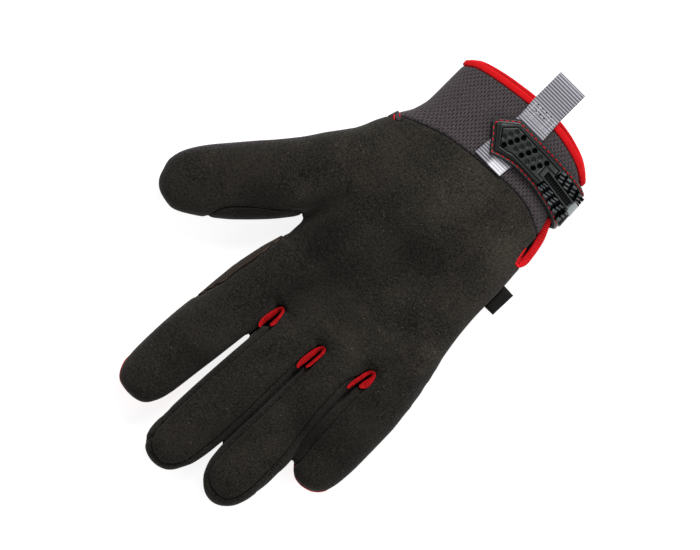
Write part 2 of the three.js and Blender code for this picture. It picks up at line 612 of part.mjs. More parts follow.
function addPart(name, solid, finish) {
  const mesh = solid.getMesh();
  const geometry = new THREE.BufferGeometry();
  geometry.setAttribute('position', new THREE.BufferAttribute(new Float32Array(mesh.vertProperties), 3));
  geometry.setIndex(largestBody([...mesh.triVerts], mesh.vertProperties.length / 3));
  geometry.computeVertexNormals();
  const part = new THREE.Mesh(geometry, new THREE.MeshStandardMaterial(finish));
  part.name = name;
  parts.push(part);
}

const SUEDE = { color: 0x2b2825, roughness: 0.95, metalness: 0 };
const KNIT = { color: 0x45414a, roughness: 0.9, metalness: 0 };
const ELASTIC = { color: 0x241f1e, roughness: 0.85, metalness: 0 };
const RED_TAPE = { color: 0xd3201f, roughness: 0.8, metalness: 0 };
const RUBBER = { color: 0x1d2022, roughness: 0.45, metalness: 0 };
const WEBBING = { color: 0x8b8b92, roughness: 0.8, metalness: 0 };
const LABEL_CLOTH = { color: 0x151515, roughness: 0.7, metalness: 0 };

const shell = wholeHand(0).subtract(wholeHand(WALL));
const proudShell = wholeHand(-PROUD).subtract(wholeHand(WALL + BINDING_EXTRA));

// The crotch loops and the notch's tape are set into the panels, which stop short of them
const loopFloor = LOOP_TOP - LOOP_DEPTH;
const loopRooms = join(CROTCH_LOOPS.map((loop) => block(loopOutline(loop, GAP), loopFloor - GAP, ABOVE)));
const notchReach = NOTCH_HALF + NOTCH_TAPE;
const notchSlit = block(bandOutline(NOTCH, NOTCH_HALF, SLIT_HEAD), NOTCH_FLOOR - GAP, ABOVE);
const notchTape = block(bandOutline(NOTCH, notchReach, NOTCH_HEAD), NOTCH_FLOOR, ABOVE).subtract(notchSlit);
const notchRoom = block(bandOutline(NOTCH, notchReach + GAP, NOTCH_HEAD + GAP), NOTCH_FLOOR - GAP, ABOVE);

const handSide = block(sideOf(SUEDE_EDGE, 1), BELOW, ABOVE);
const cuffSide = block(sideOf(shiftLine(SUEDE_EDGE, -GAP), -1), BELOW, ABOVE);
const hand = shell.intersect(handSide).subtract(notchRoom).subtract(loopRooms);
const upper = hand.subtract(belowSeam(GAP / 2));
const lower = hand.intersect(belowSeam(-GAP / 2));

const patches = [THUMB_PATCH, INDEX_PATCH].map((outline) => block(outline, BELOW, ABOVE));
const roomFor = (outline) => block(offsetOutline(outline, GAP), BELOW, ABOVE);
const patchRooms = join([THUMB_PATCH, INDEX_PATCH].map(roomFor));
const palm = upper.intersect(block(FINGER_SEAM, BELOW, ABOVE)).subtract(patchRooms);
const strips = upper.subtract(roomFor(FINGER_SEAM));

function between(left, right) {
  return block([[left, BELOW], [right, BELOW], [right, REACH], [left, REACH]], BELOW, ABOVE);
}

const tips = join([INDEX_TIP, PINKY_TIP].map(roomFor));

function tipBack(rows, outline) {
  const proudFinger = fingerTube(rows, -PROUD).subtract(fingerTube(rows, WALL));
  return proudFinger.intersect(belowSeam(-GAP / 2)).intersect(block(outline, BELOW, ABOVE));
}

const rim = leaningBlock(MOUTH_EDGE, 1).subtract(leaningBlock(shiftLine(MOUTH_EDGE, BINDING_WIDTH), 1));
const insideRim = leaningBlock(shiftLine(MOUTH_EDGE, BINDING_WIDTH + GAP), 1);

addPart('palm_panel', palm, SUEDE);
addPart('back_panel', lower.subtract(tips), KNIT);
const stripEdges = [-REACH, RING_MIDLINE, MIDDLE_MIDLINE, REACH];
['ring_pinky', 'middle_ring', 'index_middle'].forEach((fingers, i) => {
  const ground = between(stripEdges[i] + GAP / 2, stripEdges[i + 1] - GAP / 2);
  addPart(`fourchette_${fingers}`, strips.intersect(ground), SUEDE);
});
addPart('thumb_gusset', upper.intersect(patches[0]), SUEDE);
addPart('index_side_gusset', upper.intersect(patches[1]), ELASTIC);
addPart('index_tip_back', tipBack(INDEX_ROWS, INDEX_TIP), RED_TAPE);
addPart('pinky_tip_back', tipBack(PINKY_ROWS, PINKY_TIP), RED_TAPE);
addPart('cuff', shell.intersect(cuffSide).intersect(insideRim).subtract(notchRoom), KNIT);
addPart('cuff_binding', bodyTube(-PROUD).subtract(bodyTube(WALL + BINDING_EXTRA)).intersect(rim), RED_TAPE);
addPart('notch_binding', proudShell.intersect(notchTape), RED_TAPE);
for (const loop of CROTCH_LOOPS) {
  addPart(loop.name, proudShell.intersect(block(loopOutline(loop, 0), loopFloor, ABOVE)), RED_TAPE);
}
addPart('strap_backing', strapBacking(), RUBBER);
addPart('strap_plate', strapPlate(), RUBBER);
addPart('pull_ribbon', pullRibbon(), WEBBING);
addPart('side_label', block(LABEL.outline, LABEL.low, LABEL.high), LABEL_CLOTH);
addPart('thumb_tab', block(TAB.outline, TAB.low, TAB.high), LABEL_CLOTH);

const glove = new THREE.Group();
glove.name = 'glove';
glove.add(...parts);
export default glove;
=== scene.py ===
"""A right-hand utility work glove that lies on its back, palm up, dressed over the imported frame.

Lengths in the tables are millimetres in the row frame, and every Blender object is in metres.
+Y runs from the cuff to the fingertips, +X to the thumb's side and +Z up out of the palm.
"""

import json
import logging
import math
from dataclasses import dataclass
from enum import Enum
from typing import Callable, Sequence

import bpy
import numpy as np
from mathutils import Matrix, Vector

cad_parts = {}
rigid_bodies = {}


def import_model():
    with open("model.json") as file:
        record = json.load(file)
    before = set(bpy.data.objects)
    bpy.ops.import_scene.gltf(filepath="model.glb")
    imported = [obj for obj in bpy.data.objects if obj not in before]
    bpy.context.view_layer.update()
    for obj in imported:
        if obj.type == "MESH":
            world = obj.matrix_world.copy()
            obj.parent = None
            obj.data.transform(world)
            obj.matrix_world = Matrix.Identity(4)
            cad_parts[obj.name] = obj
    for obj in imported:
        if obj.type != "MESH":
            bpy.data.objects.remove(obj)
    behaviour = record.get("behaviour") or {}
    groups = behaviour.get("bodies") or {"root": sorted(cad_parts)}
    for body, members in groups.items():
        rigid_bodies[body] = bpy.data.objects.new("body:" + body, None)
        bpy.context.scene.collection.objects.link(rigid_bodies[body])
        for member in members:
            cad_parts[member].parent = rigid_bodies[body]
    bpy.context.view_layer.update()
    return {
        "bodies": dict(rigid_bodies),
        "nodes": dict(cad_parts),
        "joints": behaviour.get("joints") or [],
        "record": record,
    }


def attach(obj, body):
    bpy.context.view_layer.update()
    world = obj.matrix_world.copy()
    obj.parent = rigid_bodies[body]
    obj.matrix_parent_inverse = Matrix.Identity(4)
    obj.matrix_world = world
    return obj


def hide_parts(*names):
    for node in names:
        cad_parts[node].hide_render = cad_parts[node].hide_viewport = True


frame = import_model()

LOG = logging.getLogger("glove")
logging.basicConfig(level=logging.INFO, format="%(name)s: %(message)s")

Array = np.ndarray
Socket = bpy.types.NodeSocket
Material = bpy.types.Material
Object = bpy.types.Object
MM = 0.001

# Driving sizes, as in the part's source
WALL = 1.6
ROUNDNESS = 2.35
SEAM_HEIGHT = 10.0
THUMB_SEAM_LIFT = 8.0
RIM_LEAN = 0.09
PANEL_GAP = 0.15
ROOM_OVERLAP = 0.8
WIDEST_HEIGHT = 13.0
# The grid that finds the hand's surface: its step, and its ends in x, y and z
SKIN_PITCH = 0.9
SKIN_BOX = ((-53.0, 116.0), (-106.0, 147.0), (-1.5, 34.0))
# Fillets: between the fingers, in their roots with the y where each ends and is full, and elsewhere
WEBS = (2.4, 2.0, 1.6)
ROOT_FILL = 7.0
ROOT_SPANS = ((43.5, 38.0), (52.0, 46.0), (52.5, 46.5))
PARTING_SPAN = (73.5, 68.0)
PALM_FILLET = 5.0
THUMB_FILLET = 4.0
FLOOR_FILLET = 1.2

# Cross-sections: y, left, right, low, high
BODY_ROWS = (
    (-108, -23, 45, 1.0, 27.4), (-98, -28.5, 45.7, 1.2, 28.4), (-92, -30.4, 46, 1.8, 28.8),
    (-85, -31.8, 46.1, 2.4, 29), (-75, -32.4, 46.1, 2.6, 29.2), (-66, -33, 46.2, 1.8, 29.6),
    (-58, -35, 48, 0.4, 30.2), (-50, -37.4, 52.4, -1, 30.6), (-38, -38.6, 57, -1.4, 30.6),
    (-20, -39.5, 58, -1.4, 30), (0, -40.5, 52.5, -1.4, 28.4), (13, -42.4, 48.2, -1.4, 27),
    (22, -44.6, 48.2, -1.2, 26.1), (28, -45.7, 48.4, -1, 25.2), (38, -44.6, 49.4, 0.6, 22),
    (41, -42, 47, 4, 18), (43, -30, 36, 8, 14),
)
PINKY_ROWS = (
    (28, -42.6, -20, 0.4, 22.8), (34, -46.6, -20.8, 0.4, 22.8), (40.6, -48.2, -21.8, 0.4, 22.6),
    (43, -48.6, -23.9, 0.4, 22.4), (56, -49.9, -23, 0.6, 21.8), (78, -50.3, -22.9, 0.8, 20.8),
    (88, -49.8, -24.0, 1.2, 19.8),
    (94.5, -48.6, -25.8, 2, 18.4), (98.5, -46.4, -28.6, 3.2, 16.8), (101.2, -43, -31.6, 5, 14.6),
    (102.7, -36.7, -36.5, 9.6, 9.8),
)
RING_ROWS = (
    (28, -24.4, 5, 0.4, 24.4), (40.6, -24.6, 5, 0.4, 24.4), (43, -23.2, 5, 0.4, 24.4),
    (48.4, -22.8, 3.6, 0.4, 24.2), (51, -22.5, 0.2, 0.4, 24), (70, -22.1, 0, 0.6, 23.4),
    (86, -23.5, 0.1, 0.8, 22.8), (100, -26.8, 0.6, 1, 22.2), (112, -26.9, 1, 1.2, 21.4),
    (123, -25.5, 0.4, 2, 20.2), (130, -23.4, -2, 3.2, 18.6), (135, -19.4, -6.4, 5.2, 16),
    (137.5, -13.1, -12.9, 10.3, 10.5),
)
MIDDLE_ROWS = (
    (28, -3, 30, 0.4, 24.8), (48.4, -2, 30, 0.4, 24.6), (51, 0.9, 26.2, 0.4, 24.4),
    (61, 0.8, 27.2, 0.4, 24.2), (72, 0.7, 27.7, 0.6, 23.8), (106, 1.7, 29.6, 1, 22.6),
    (120, 2.6, 30.2, 1.2, 21.6), (130, 4.3, 30.3, 2.2, 20.2), (137, 7.4, 28.8, 3.4, 18.6),
    (141.4, 10.8, 25.2, 5.4, 16), (143.7, 17.9, 18.1, 10.4, 10.6),
)
INDEX_ROWS = (
    (28, 24, 49.6, 0.6, 24), (38, 24.4, 53, 0.4, 24.4), (48.4, 25, 55.3, 0.4, 24.4),
    (51, 26.9, 55.7, 0.4, 24.2), (61, 27.9, 56.9, 0.6, 23.8), (72, 28.9, 58, 0.6, 23.4),
    (82, 30.1, 59.4, 0.8, 22.8), (108, 33.6, 60.9, 1.4, 21.2), (118, 35.5, 60.4, 2.2, 19.8),
    (124, 38, 58.4, 3.4, 18.2), (127.4, 41, 55.4, 5.2, 15.8), (129.1, 47.9, 48.1, 10.1, 10.3),
)
THUMB_ROOT = (46.0, -18.0)
THUMB_ANGLE = math.radians(47.5)
# Along the thumb's own axis: along, outer, inner, low, high
THUMB_ROWS = (
    (-30, -10, 8, 5, 22), (-16, -22.6, 12, 2, 28), (0, -20.6, 14, 0.8, 29.4), (14, -19, 16.5, 0.6, 29),
    (26, -17.4, 19, 0.6, 28.2), (42, -16.6, 20, 0.8, 27.2), (57, -16.2, 19.5, 1, 26),
    (69, -15.6, 18, 1.4, 24.6), (79, -13.8, 15.8, 2.4, 22.6), (86, -10.2, 13, 4, 20.2),
    (90, -4.6, 7.8, 6.4, 17.2), (91.9, 1.5, 1.7, 11.5, 11.7),
)

# Seams, drawn as seen from above
SUEDE_EDGE = (
    (-90, -47), (-60, -49), (-38, -54), (-31.5, -57.5), (-25, -60.5), (-20, -62), (-10, -63), (0, -62.2),
    (10, -61.2), (20, -60), (30, -58.3), (40, -55), (50, -51), (56, -47), (140, -38), (160, -37),
)
MOUTH_EDGE = (
    (-80, -70), (-60, -76), (-34, -85.5), (-31, -89.5), (-26, -93.6), (-20, -96.5), (-10, -99.1),
    (0, -100.1), (12, -100.1), (20, -99.2), (30, -97.6), (40, -95), (44.5, -92.2), (48, -89.5),
    (70, -78), (90, -70),
)
FINGER_SEAM = (
    (-90, -70), (-90, 125), (-31, 125), (-29.5, 95), (-28.5, 85), (-27.5, 70), (-27, 55), (-26.6, 48),
    (-24.8, 44.4), (-21.8, 48), (-19, 55), (-19.6, 75), (-21.6, 90), (-22.8, 100), (-22.6, 122),
    (-19, 131), (-13, 133.4), (-7, 132), (-3.2, 128), (-1.6, 120), (-1.8, 100), (-2.4, 75), (-2, 57),
    (-0.2, 53), (2.4, 57), (3.4, 75), (3.8, 100), (5.4, 122), (8, 134), (13, 140), (18, 141.2),
    (24, 139), (27.4, 133), (28, 120), (27, 100), (25.2, 80), (23.8, 62), (23.8, 57), (25.6, 53.4),
    (27.4, 58), (28.3, 72), (31, 94), (33, 112), (36, 150), (150, 150), (150, -70),
)
THUMB_PATCH = (
    (50.2, 13.4), (60, 21.5), (70, 29.5), (75, 34.5), (78.5, 40), (79.5, 52), (60, 46), (53, 26),
)
INDEX_PATCH = (
    (49.3, 28), (50.4, 35), (51.4, 45), (52.8, 52), (54, 60), (56.4, 68), (58.6, 75), (63, 75),
    (60, 50), (54, 30), (51.6, 27),
)
INDEX_TIP = ((30.8, 100), (70, 100), (70, 140), (32, 140))
PINKY_TIP = ((-60, 91), (-20, 91), (-20, 112), (-60, 112))
RING_MIDLINE = -13.0
MIDDLE_MIDLINE = 18.0

# Soft valleys and folds in the palm's surface: the line's points, width and depth
FOLDS = (
    (((48, 14), (43.5, 9), (42, 3), (42.5, -4), (45, -11)), 1.5, 1.5),
    (((48, 16), (44, 9), (41, 2), (42, -8), (46, -18)), 6.5, 1.9),
    (((44, 20), (35, 27), (28, 36), (26.5, 47)), 7.5, 2.3),
    (((26.5, 49), (25, 40), (21, 30)), 3.5, 0.9),
    (((40, 2), (32, 18), (22, 34)), 10.0, 1.0),
    (((-24, 42), (-28, 35), (-33, 29)), 3.6, 1.0),
    (((0, 50), (-1, 42), (-4, 34)), 3.6, 0.7),
    (((8, -6), (-4, 8)), 22.0, 1.3),
    (((-21, 109), (-4, 107)), 3.5, 0.45),
    (((6, 119), (27, 121)), 4.0, 0.4),
    (((4, 84), (26, 88)), 5.0, 0.3),
    (((-47, 62), (-28, 60)), 5.0, 0.3),
    (((34, 70), (56, 73)), 5.0, 0.35),
    (((36, 98), (58, 101)), 4.0, 0.3),
    (((58, 4), (74, -12)), 7.0, 0.5),
    (((80, 26), (94, 14)), 5.0, 0.4),
    (((-34, -6), (-14, -22), (4, -44)), 9.0, 0.5),
    (((-36, 14), (-12, 20), (14, 20)), 6.0, 0.6),
)

# The taped finger crotches: x, y and the tape's width along each loop
CROTCH_LOOPS = {
    "crotch_loop_ring_pinky": (
        (-24.8, 51.4, 1.2), (-25.8, 49.6, 3), (-26.3, 47.4, 3.1), (-26.4, 45, 2.2),
        (-26, 43.2, 1.7), (-25, 42.3, 1.5), (-23.8, 43.1, 1.6), (-22.9, 45.4, 1.8),
        (-22.3, 48.4, 1.9), (-21.7, 51.6, 1.9), (-21.4, 54.2, 1.6), (-21.5, 55.8, 1),
    ),
    "crotch_loop_middle_ring": (
        (-1, 62.4, 1), (-1.5, 60, 1.4), (-1.8, 56, 1.4), (-1.9, 53, 1.4), (-1.5, 51.2, 1.4),
        (-0.5, 50.6, 1.5), (0.5, 51.8, 1.8), (1.1, 54.4, 2.4), (1.6, 58, 2.7), (2, 61.6, 2.6),
        (2, 64, 1.8), (1.5, 65.4, 1),
    ),
    "crotch_loop_index_middle": (
        (24.3, 60.4, 1.2), (23.9, 58.4, 1.9), (24, 56, 1.5), (24.2, 53.6, 1.3), (24.7, 51.9, 1.3),
        (25.7, 51.2, 1.4), (26.6, 52.2, 1.7), (27.1, 54.6, 2.3), (27.6, 57.6, 2.7), (28, 60.6, 2.6),
        (27.9, 63, 1.9), (27.2, 64.4, 1),
    ),
}
LOOP_ROOMS = (
    ((-25, 51.8), (-27, 50.4), (-27.6, 47.6), (-27.2, 44.6), (-26.5, 42.6), (-25, 41.8),
     (-23.4, 42.3), (-22.1, 45), (-21.3, 48.6), (-20.9, 52), (-20.8, 56.2)),
    ((-1.3, 62.8), (-1.9, 60), (-2.2, 56), (-2.3, 52.8), (-1.7, 51), (-0.4, 50.2), (0.9, 51),
     (1.9, 53.8), (2.5, 58), (2.9, 62), (2.6, 65.6)),
    ((23.8, 60.8), (23.3, 58), (23.6, 53.8), (24.2, 51.6), (25.8, 50.8), (27.2, 51.6), (28, 54.6),
     (28.6, 58.6), (28.9, 62), (28.2, 64.6)),
)

# The taped slit at the wrist: x, y and the tape's width
NOTCH_TAPE = (
    (-31.4, -65.2, 3.3), (-33.4, -61, 3.6), (-35.4, -56.4, 3.7), (-36.7, -51.5, 3.6),
    (-37.5, -46.8, 3.5), (-37.7, -43.2, 3.7), (-37, -40.8, 3.2), (-35.9, -40.6, 2.2),
    (-35, -42.6, 1.5), (-34.4, -45.4, 1.1), (-33.9, -48.2, 0.6),
)
NOTCH_ROOM = (
    (-42, -42), (-38.4, -38.6), (-36.2, -39), (-34.5, -41), (-33.8, -46), (-33.6, -50),
    (-33.4, -54), (-32.8, -58), (-31.4, -63), (-30.6, -66), (-33.6, -68.5), (-38, -60),
    (-42, -50),
)

# The strap as it goes round the cuff: turn in degrees from the thumb's side, top, bottom and lift
STRAP_ROWS = (
    (75.7, -79.6, -80.8, 1.9), (82.3, -74.0, -85.1, 1.95), (88.2, -67.6, -89, 1.95),
    (91.6, -69.2, -89, 1.95), (97.5, -70.5, -88.9, 1.95), (104.3, -71, -88.9, 1.95),
    (120.3, -70.5, -88.8, 1.4), (132, -69.2, -88.4, 1.2), (142, -68.3, -88.1, 1.1),
    (151, -67.3, -87.6, 1.3), (164, -65.8, -86.8, 1.7), (176, -64.5, -86, 1.9),
    (190, -63.3, -85.5, 1.9), (204, -63, -85.2, 1.6), (218, -63, -85, 1.0), (234, -63.6, -84.8, 0.6),
    (250, -64.4, -84.4, 0.5),
)
STRAP_SHIFT = 0.7
BACKING_THICK = 0.9
PLATE_BASE = 1.2
PLATE_BORDER = 0.8
PLATE_END = 200.0
# The cover's smooth middle in strap coordinates: along the wrap, where the top has its x, and y
GRIP_OUTLINE = (
    (12.8, -79.6), (8.0, -72.8), (4.2, -73.4), (1.2, -74.3), (-16.5, -74.2), (-16.5, -76.2),
    (-13.0, -76.2), (-13.0, -81.4), (-18.8, -81.4), (-18.8, -84.0), (7.8, -84.7),
)
# Six slanted rows of six-sided pockets: the y of each pocket, and how deep it is
DIMPLE_COLUMNS = (
    ((-77.1, -79.9, -82.7), 0.5), ((-74.4, -77.3, -80.1, -83.0), 1.8), ((-76.7, -79.5, -82.4), 0.5),
    ((-76.6, -79.7, -82.5), 1.8), ((-76.3, -79.1, -82.1), 0.5), ((-76.3, -79.2, -82.3), 1.8),
)
DIMPLE_START = 8.4
DIMPLE_PITCH = 3.9
DIMPLE_HALF = 1.2
# The ribbed slot between the tread banks: half width, rail outside it, first and last place
SLOT_HALF = 1.5
RAIL_HALF = 2.45
SLOT_START = -15.6
SLOT_TURN = 163.0
BAND_TURN = 179.0
TREAD_COLUMNS = 5
LOBE_STARTS = (-36.0, -39.4)
TREAD_PITCH = 3.75
TREAD_SHARES = (0.0, 0.3, 0.6, 1.0)

# The webbing ribbon: its middle line seen from the side (y, z), and its sideways run (y, x)
RIBBON_LINE = (
    (-62.8, 30.75), (-66, 30.5), (-75, 30.1), (-85, 29.92), (-92, 29.75), (-95.4, 29.9), (-99.4, 29.9),
    (-105, 30), (-111, 30.1), (-115, 29.5), (-116.4, 27.3), (-115, 25), (-111, 24.2), (-105, 24.3),
    (-99.4, 24.7), (-92.6, 24.8),
)
RIBBON_SHIFTS = ((-117, -3.8), (-99.5, -3.8), (-89.5, -4.5), (-62, -1.7))
RIBBON_WIDTH = 16.0
RIBBON_THICK = 1.0
RIBBON_RIB = 1.35


def linear(code: str) -> tuple[float, float, float, float]:
    """Turns an sRGB hex colour into the linear colour that shaders use.

    Args:
        code: six hex digits.

    Returns:
        Linear red, green and blue, and an alpha of 1.
    """
    values = [int(code[i:i + 2], 16) / 255 for i in (0, 2, 4)]
    lit = [v / 12.92 if v <= 0.04045 else ((v + 0.055) / 1.055) ** 2.4 for v in values]
    return (*lit, 1.0)


# Curves and fields


def ease(value: Array, low: float, high: float) -> Array:
    """Smoothly steps from 0 where the value is low to 1 where it is high."""
    t = np.clip((value - low) / (high - low), 0, 1)
    return t * t * (3 - 2 * t)


def smooth_rows(xs: Array, ys: Array, at: Array) -> Array:
    """Reads a table through a curve that doesn't overshoot its rows.

    Args:
        xs: the rows' places, rising.
        ys: the rows' values.
        at: where the curve is read.

    Returns:
        The curve's values.
    """
    step = np.diff(xs)
    slope = np.diff(ys) / step
    tangent = np.concatenate([slope[:1], np.zeros(len(xs) - 2), slope[-1:]])
    for i in range(1, len(xs) - 1):
        if slope[i - 1] * slope[i] > 0:
            first, second = 2 * step[i] + step[i - 1], step[i] + 2 * step[i - 1]
            tangent[i] = (first + second) / (first / slope[i - 1] + second / slope[i])
    at = np.clip(at, xs[0], xs[-1])
    k = np.clip(np.searchsorted(xs, at, side="right") - 1, 0, len(xs) - 2)
    t = (at - xs[k]) / step[k]
    return (
        ys[k] * (1 + 2 * t) * (1 - t) ** 2 + tangent[k] * step[k] * t * (1 - t) ** 2
        + ys[k + 1] * t * t * (3 - 2 * t) + tangent[k + 1] * step[k] * t * t * (t - 1)
    )


def rounded_line(points: Sequence[Sequence[float]], steps: int = 6, closed: bool = False) -> Array:
    """Draws a smooth line through points.

    Args:
        points: the points, in any number of columns.
        steps: how many steps lie between two points.
        closed: whether the line returns to its start.

    Returns:
        The points of the finer line.
    """
    p = np.asarray(points, float)
    if closed:
        p = np.vstack([p[-1], p, p[0], p[1]])
    else:
        p = np.vstack([2 * p[0] - p[1], p, 2 * p[-1] - p[-2]])
    t = np.linspace(0, 1, steps, endpoint=False)[:, None]
    parts = []
    for a, b, c, d in zip(p[:-3], p[1:-2], p[2:-1], p[3:]):
        parts.append(0.5 * (2 * b + (c - a) * t + (2 * a - 5 * b + 4 * c - d) * t ** 2
                            + (3 * b - a - 3 * c + d) * t ** 3))
    if not closed:
        parts.append(p[-2][None])
    return np.vstack(parts)


def run_lengths(line: Array) -> Array:
    """Measures how far along a line each of its points is."""
    return np.concatenate([[0], np.cumsum(np.linalg.norm(np.diff(line, axis=0), axis=1))])


def signed_power(value: Array, power: float) -> Array:
    """Raises values to a power and keeps their signs."""
    return np.sign(value) * np.abs(value) ** power


def even_line(points: Array, pitch: float) -> Array:
    """Spaces a line's points evenly.

    Args:
        points: the line's points.
        pitch: about how far apart the new points are.

    Returns:
        The evenly spaced points.
    """
    length = run_lengths(points)
    at = np.linspace(0, length[-1], max(int(round(length[-1] / pitch)), 2) + 1)
    return np.stack([np.interp(at, length, column) for column in points.T], axis=1)


def line_distance(line: Array, x: Array, y: Array) -> Array:
    """Measures how far points are from a line seen from above.

    Args:
        line: the line's points, x and y.
        x: the points' x.
        y: the points' y.

    Returns:
        The distances.
    """
    best = np.full(np.shape(x), np.inf)
    for (ax, ay), (bx, by) in zip(line[:-1], line[1:]):
        dx, dy = bx - ax, by - ay
        t = np.clip(((x - ax) * dx + (y - ay) * dy) / max(dx * dx + dy * dy, 1e-9), 0, 1)
        best = np.minimum(best, (x - ax - t * dx) ** 2 + (y - ay - t * dy) ** 2)
    return np.sqrt(best)


def inside_distance(outline: Sequence[Sequence[float]], x: Array, y: Array, rounded: bool = True) -> Array:
    """Measures how far inside an outline points are, as seen from above.

    Args:
        outline: the corners of a closed outline.
        x: the points' x.
        y: the points' y.
        rounded: whether the outline is a smooth curve through its corners.

    Returns:
        The distance to the outline, below 0 outside it.
    """
    loop = rounded_line(outline, 4, True) if rounded else np.asarray(outline, float)
    loop = np.vstack([loop, loop[:1]])
    within = np.zeros(np.shape(x), bool)
    for (ax, ay), (bx, by) in zip(loop[:-1], loop[1:]):
        if ay != by:
            crossing = (ay > y) != (by > y)
            within ^= crossing & (x < (bx - ax) * (y - ay) / (by - ay) + ax)
    return np.where(within, 1, -1) * line_distance(loop, x, y)


def above_line(line: Sequence[Sequence[float]], x: Array, y: Array) -> Array:
    """Measures how far points are on the fingers' side of a line across the glove.

    Args:
        line: the line's points, with x rising.
        x: the points' x.
        y: the points' y.

    Returns:
        The distance to the line, below 0 on the cuff's side.
    """
    fine = rounded_line(line, 5)
    side = np.sign(y - np.interp(x, fine[:, 0], fine[:, 1]))
    return side * line_distance(fine, x, y)


def blend(a: Array, b: Array, soft: float) -> Array:
    """Joins two fields with a fillet as large as soft."""
    near = np.maximum(soft - np.abs(a - b), 0) / soft
    return np.minimum(a, b) - near * near * soft / 4


def lattice_noise(x: Array, y: Array, scale: float, seed: int) -> Array:
    """Reads smooth noise between -1 and 1 at points seen from above.

    Args:
        x: the points' x.
        y: the points' y.
        scale: the size of its bumps.
        seed: which noise it is.

    Returns:
        The noise.
    """
    values = np.random.default_rng(seed).uniform(-1, 1, (64, 64))
    u, v = x / scale + 300, y / scale + 300
    i, j = np.floor(u).astype(int), np.floor(v).astype(int)
    s, t = u - i, v - j
    s, t = s * s * (3 - 2 * s), t * t * (3 - 2 * t)
    pick = lambda a, b: values[a % 64, b % 64]
    return ((pick(i, j) * (1 - s) + pick(i + 1, j) * s) * (1 - t)
            + (pick(i, j + 1) * (1 - s) + pick(i + 1, j + 1) * s) * t)


@dataclass(frozen=True)
class Tube:
    """A tube of rounded sections, such as a finger.

    Attributes:
        rows: along, left, right, low and high of each section.
    """

    rows: tuple

    def section(self, along: Array) -> tuple[Array, Array, Array, Array]:
        """Reads the section at a place along the tube.

        Args:
            along: the place.

        Returns:
            The section's middle, half width, centre height and half height.
        """
        table = np.asarray(self.rows, float)
        place = table[:, 0]
        halves = [(table[:, 2] - table[:, 1]) / 2, (table[:, 4] - table[:, 3]) / 2]
        middle = smooth_rows(place, (table[:, 1] + table[:, 2]) / 2, along)
        centre = smooth_rows(place, (table[:, 3] + table[:, 4]) / 2, along)
        wide, tall = [np.sqrt(np.maximum(smooth_rows(place, h * h, along), 0.01)) for h in halves]
        return middle, wide, centre, tall

    def field(self, across: Array, along: Array, height: Array) -> Array:
        """Measures how far points are outside the tube.

        Args:
            across: across the tube.
            along: along the tube.
            height: above the floor.

        Returns:
            About the distance to the tube, below 0 inside it.
        """
        middle, wide, centre, tall = self.section(along)
        u, v = np.abs(across - middle) / wide, np.abs(height - centre) / tall
        n = ROUNDNESS
        size = np.maximum((u ** n + v ** n) ** (1 / n), 0.05)
        steep = size ** (1 - n) * np.sqrt((u ** (n - 1) / wide) ** 2 + (v ** (n - 1) / tall) ** 2)
        off = (size - 1) / np.maximum(steep, 1 / np.maximum(wide, tall))
        past = np.maximum(along - self.rows[-1][0], self.rows[0][0] - along)
        return np.where(past > 0, np.sqrt(np.maximum(off, 0) ** 2 + np.maximum(past, 0) ** 2), off)


BODY, PINKY, RING = Tube(BODY_ROWS), Tube(PINKY_ROWS), Tube(RING_ROWS)
MIDDLE, INDEX, THUMB = Tube(MIDDLE_ROWS), Tube(INDEX_ROWS), Tube(THUMB_ROWS)


def thumb_axes(x: Array, y: Array) -> tuple[Array, Array]:
    """Turns plan coordinates into the thumb's own.

    Args:
        x: plan x.
        y: plan y.

    Returns:
        Along and across the thumb.
    """
    dx, dy = x - THUMB_ROOT[0], y - THUMB_ROOT[1]
    c, s = math.cos(THUMB_ANGLE), math.sin(THUMB_ANGLE)
    return dx * c + dy * s, dy * c - dx * s


def seam_height(x: Array, y: Array) -> Array:
    """Reads how high the seam between palm and back is above the floor at plan x, y."""
    along, across = thumb_axes(x, y)
    return SEAM_HEIGHT + THUMB_SEAM_LIFT * ease(-across, 0, 16) * ease(along, -20, 12)


def fold_depth(x: Array, y: Array) -> Array:
    """Reads how deep the folds are under a point.

    Args:
        x: plan x.
        y: plan y.

    Returns:
        The depth.
    """
    depth = np.zeros(np.shape(x))
    for points, width, deep in FOLDS:
        line = rounded_line(points, 4)
        depth = depth + deep * np.exp(-(line_distance(line, x, y) / width) ** 2)
    ripple = 0.35 * lattice_noise(x, y, 17, 3) + 0.16 * lattice_noise(x, y, 7, 5)
    return depth + ripple


def hand_field(x: Array, y: Array, z: Array) -> Array:
    """Measures how far points are outside the whole glove.

    Args:
        x: plan x.
        y: plan y.
        z: height.

    Returns:
        About the distance to the glove's surface, below 0 inside it.
    """
    roots = [ROOT_FILL * ease(y, *span) for span in ROOT_SPANS]
    fingers = blend(PINKY.field(x, y, z), RING.field(x, y, z), WEBS[0] + roots[0])
    fingers = blend(fingers, MIDDLE.field(x, y, z), WEBS[1] + roots[1])
    closing = WEBS[2] * (1 + 1.5 * ease(y, *PARTING_SPAN)) + roots[2]
    fingers = blend(fingers, INDEX.field(x, y, z), closing)
    whole = blend(BODY.field(x, y, z), fingers, PALM_FILLET)
    along, across = thumb_axes(x, y)
    whole = blend(whole, THUMB.field(across, along, z), THUMB_FILLET)
    whole = whole + fold_depth(x, y) * ease(z, 12, 19) * ease(y, -70, -52)
    return -blend(-whole, z + 0 * whole, FLOOR_FILLET)


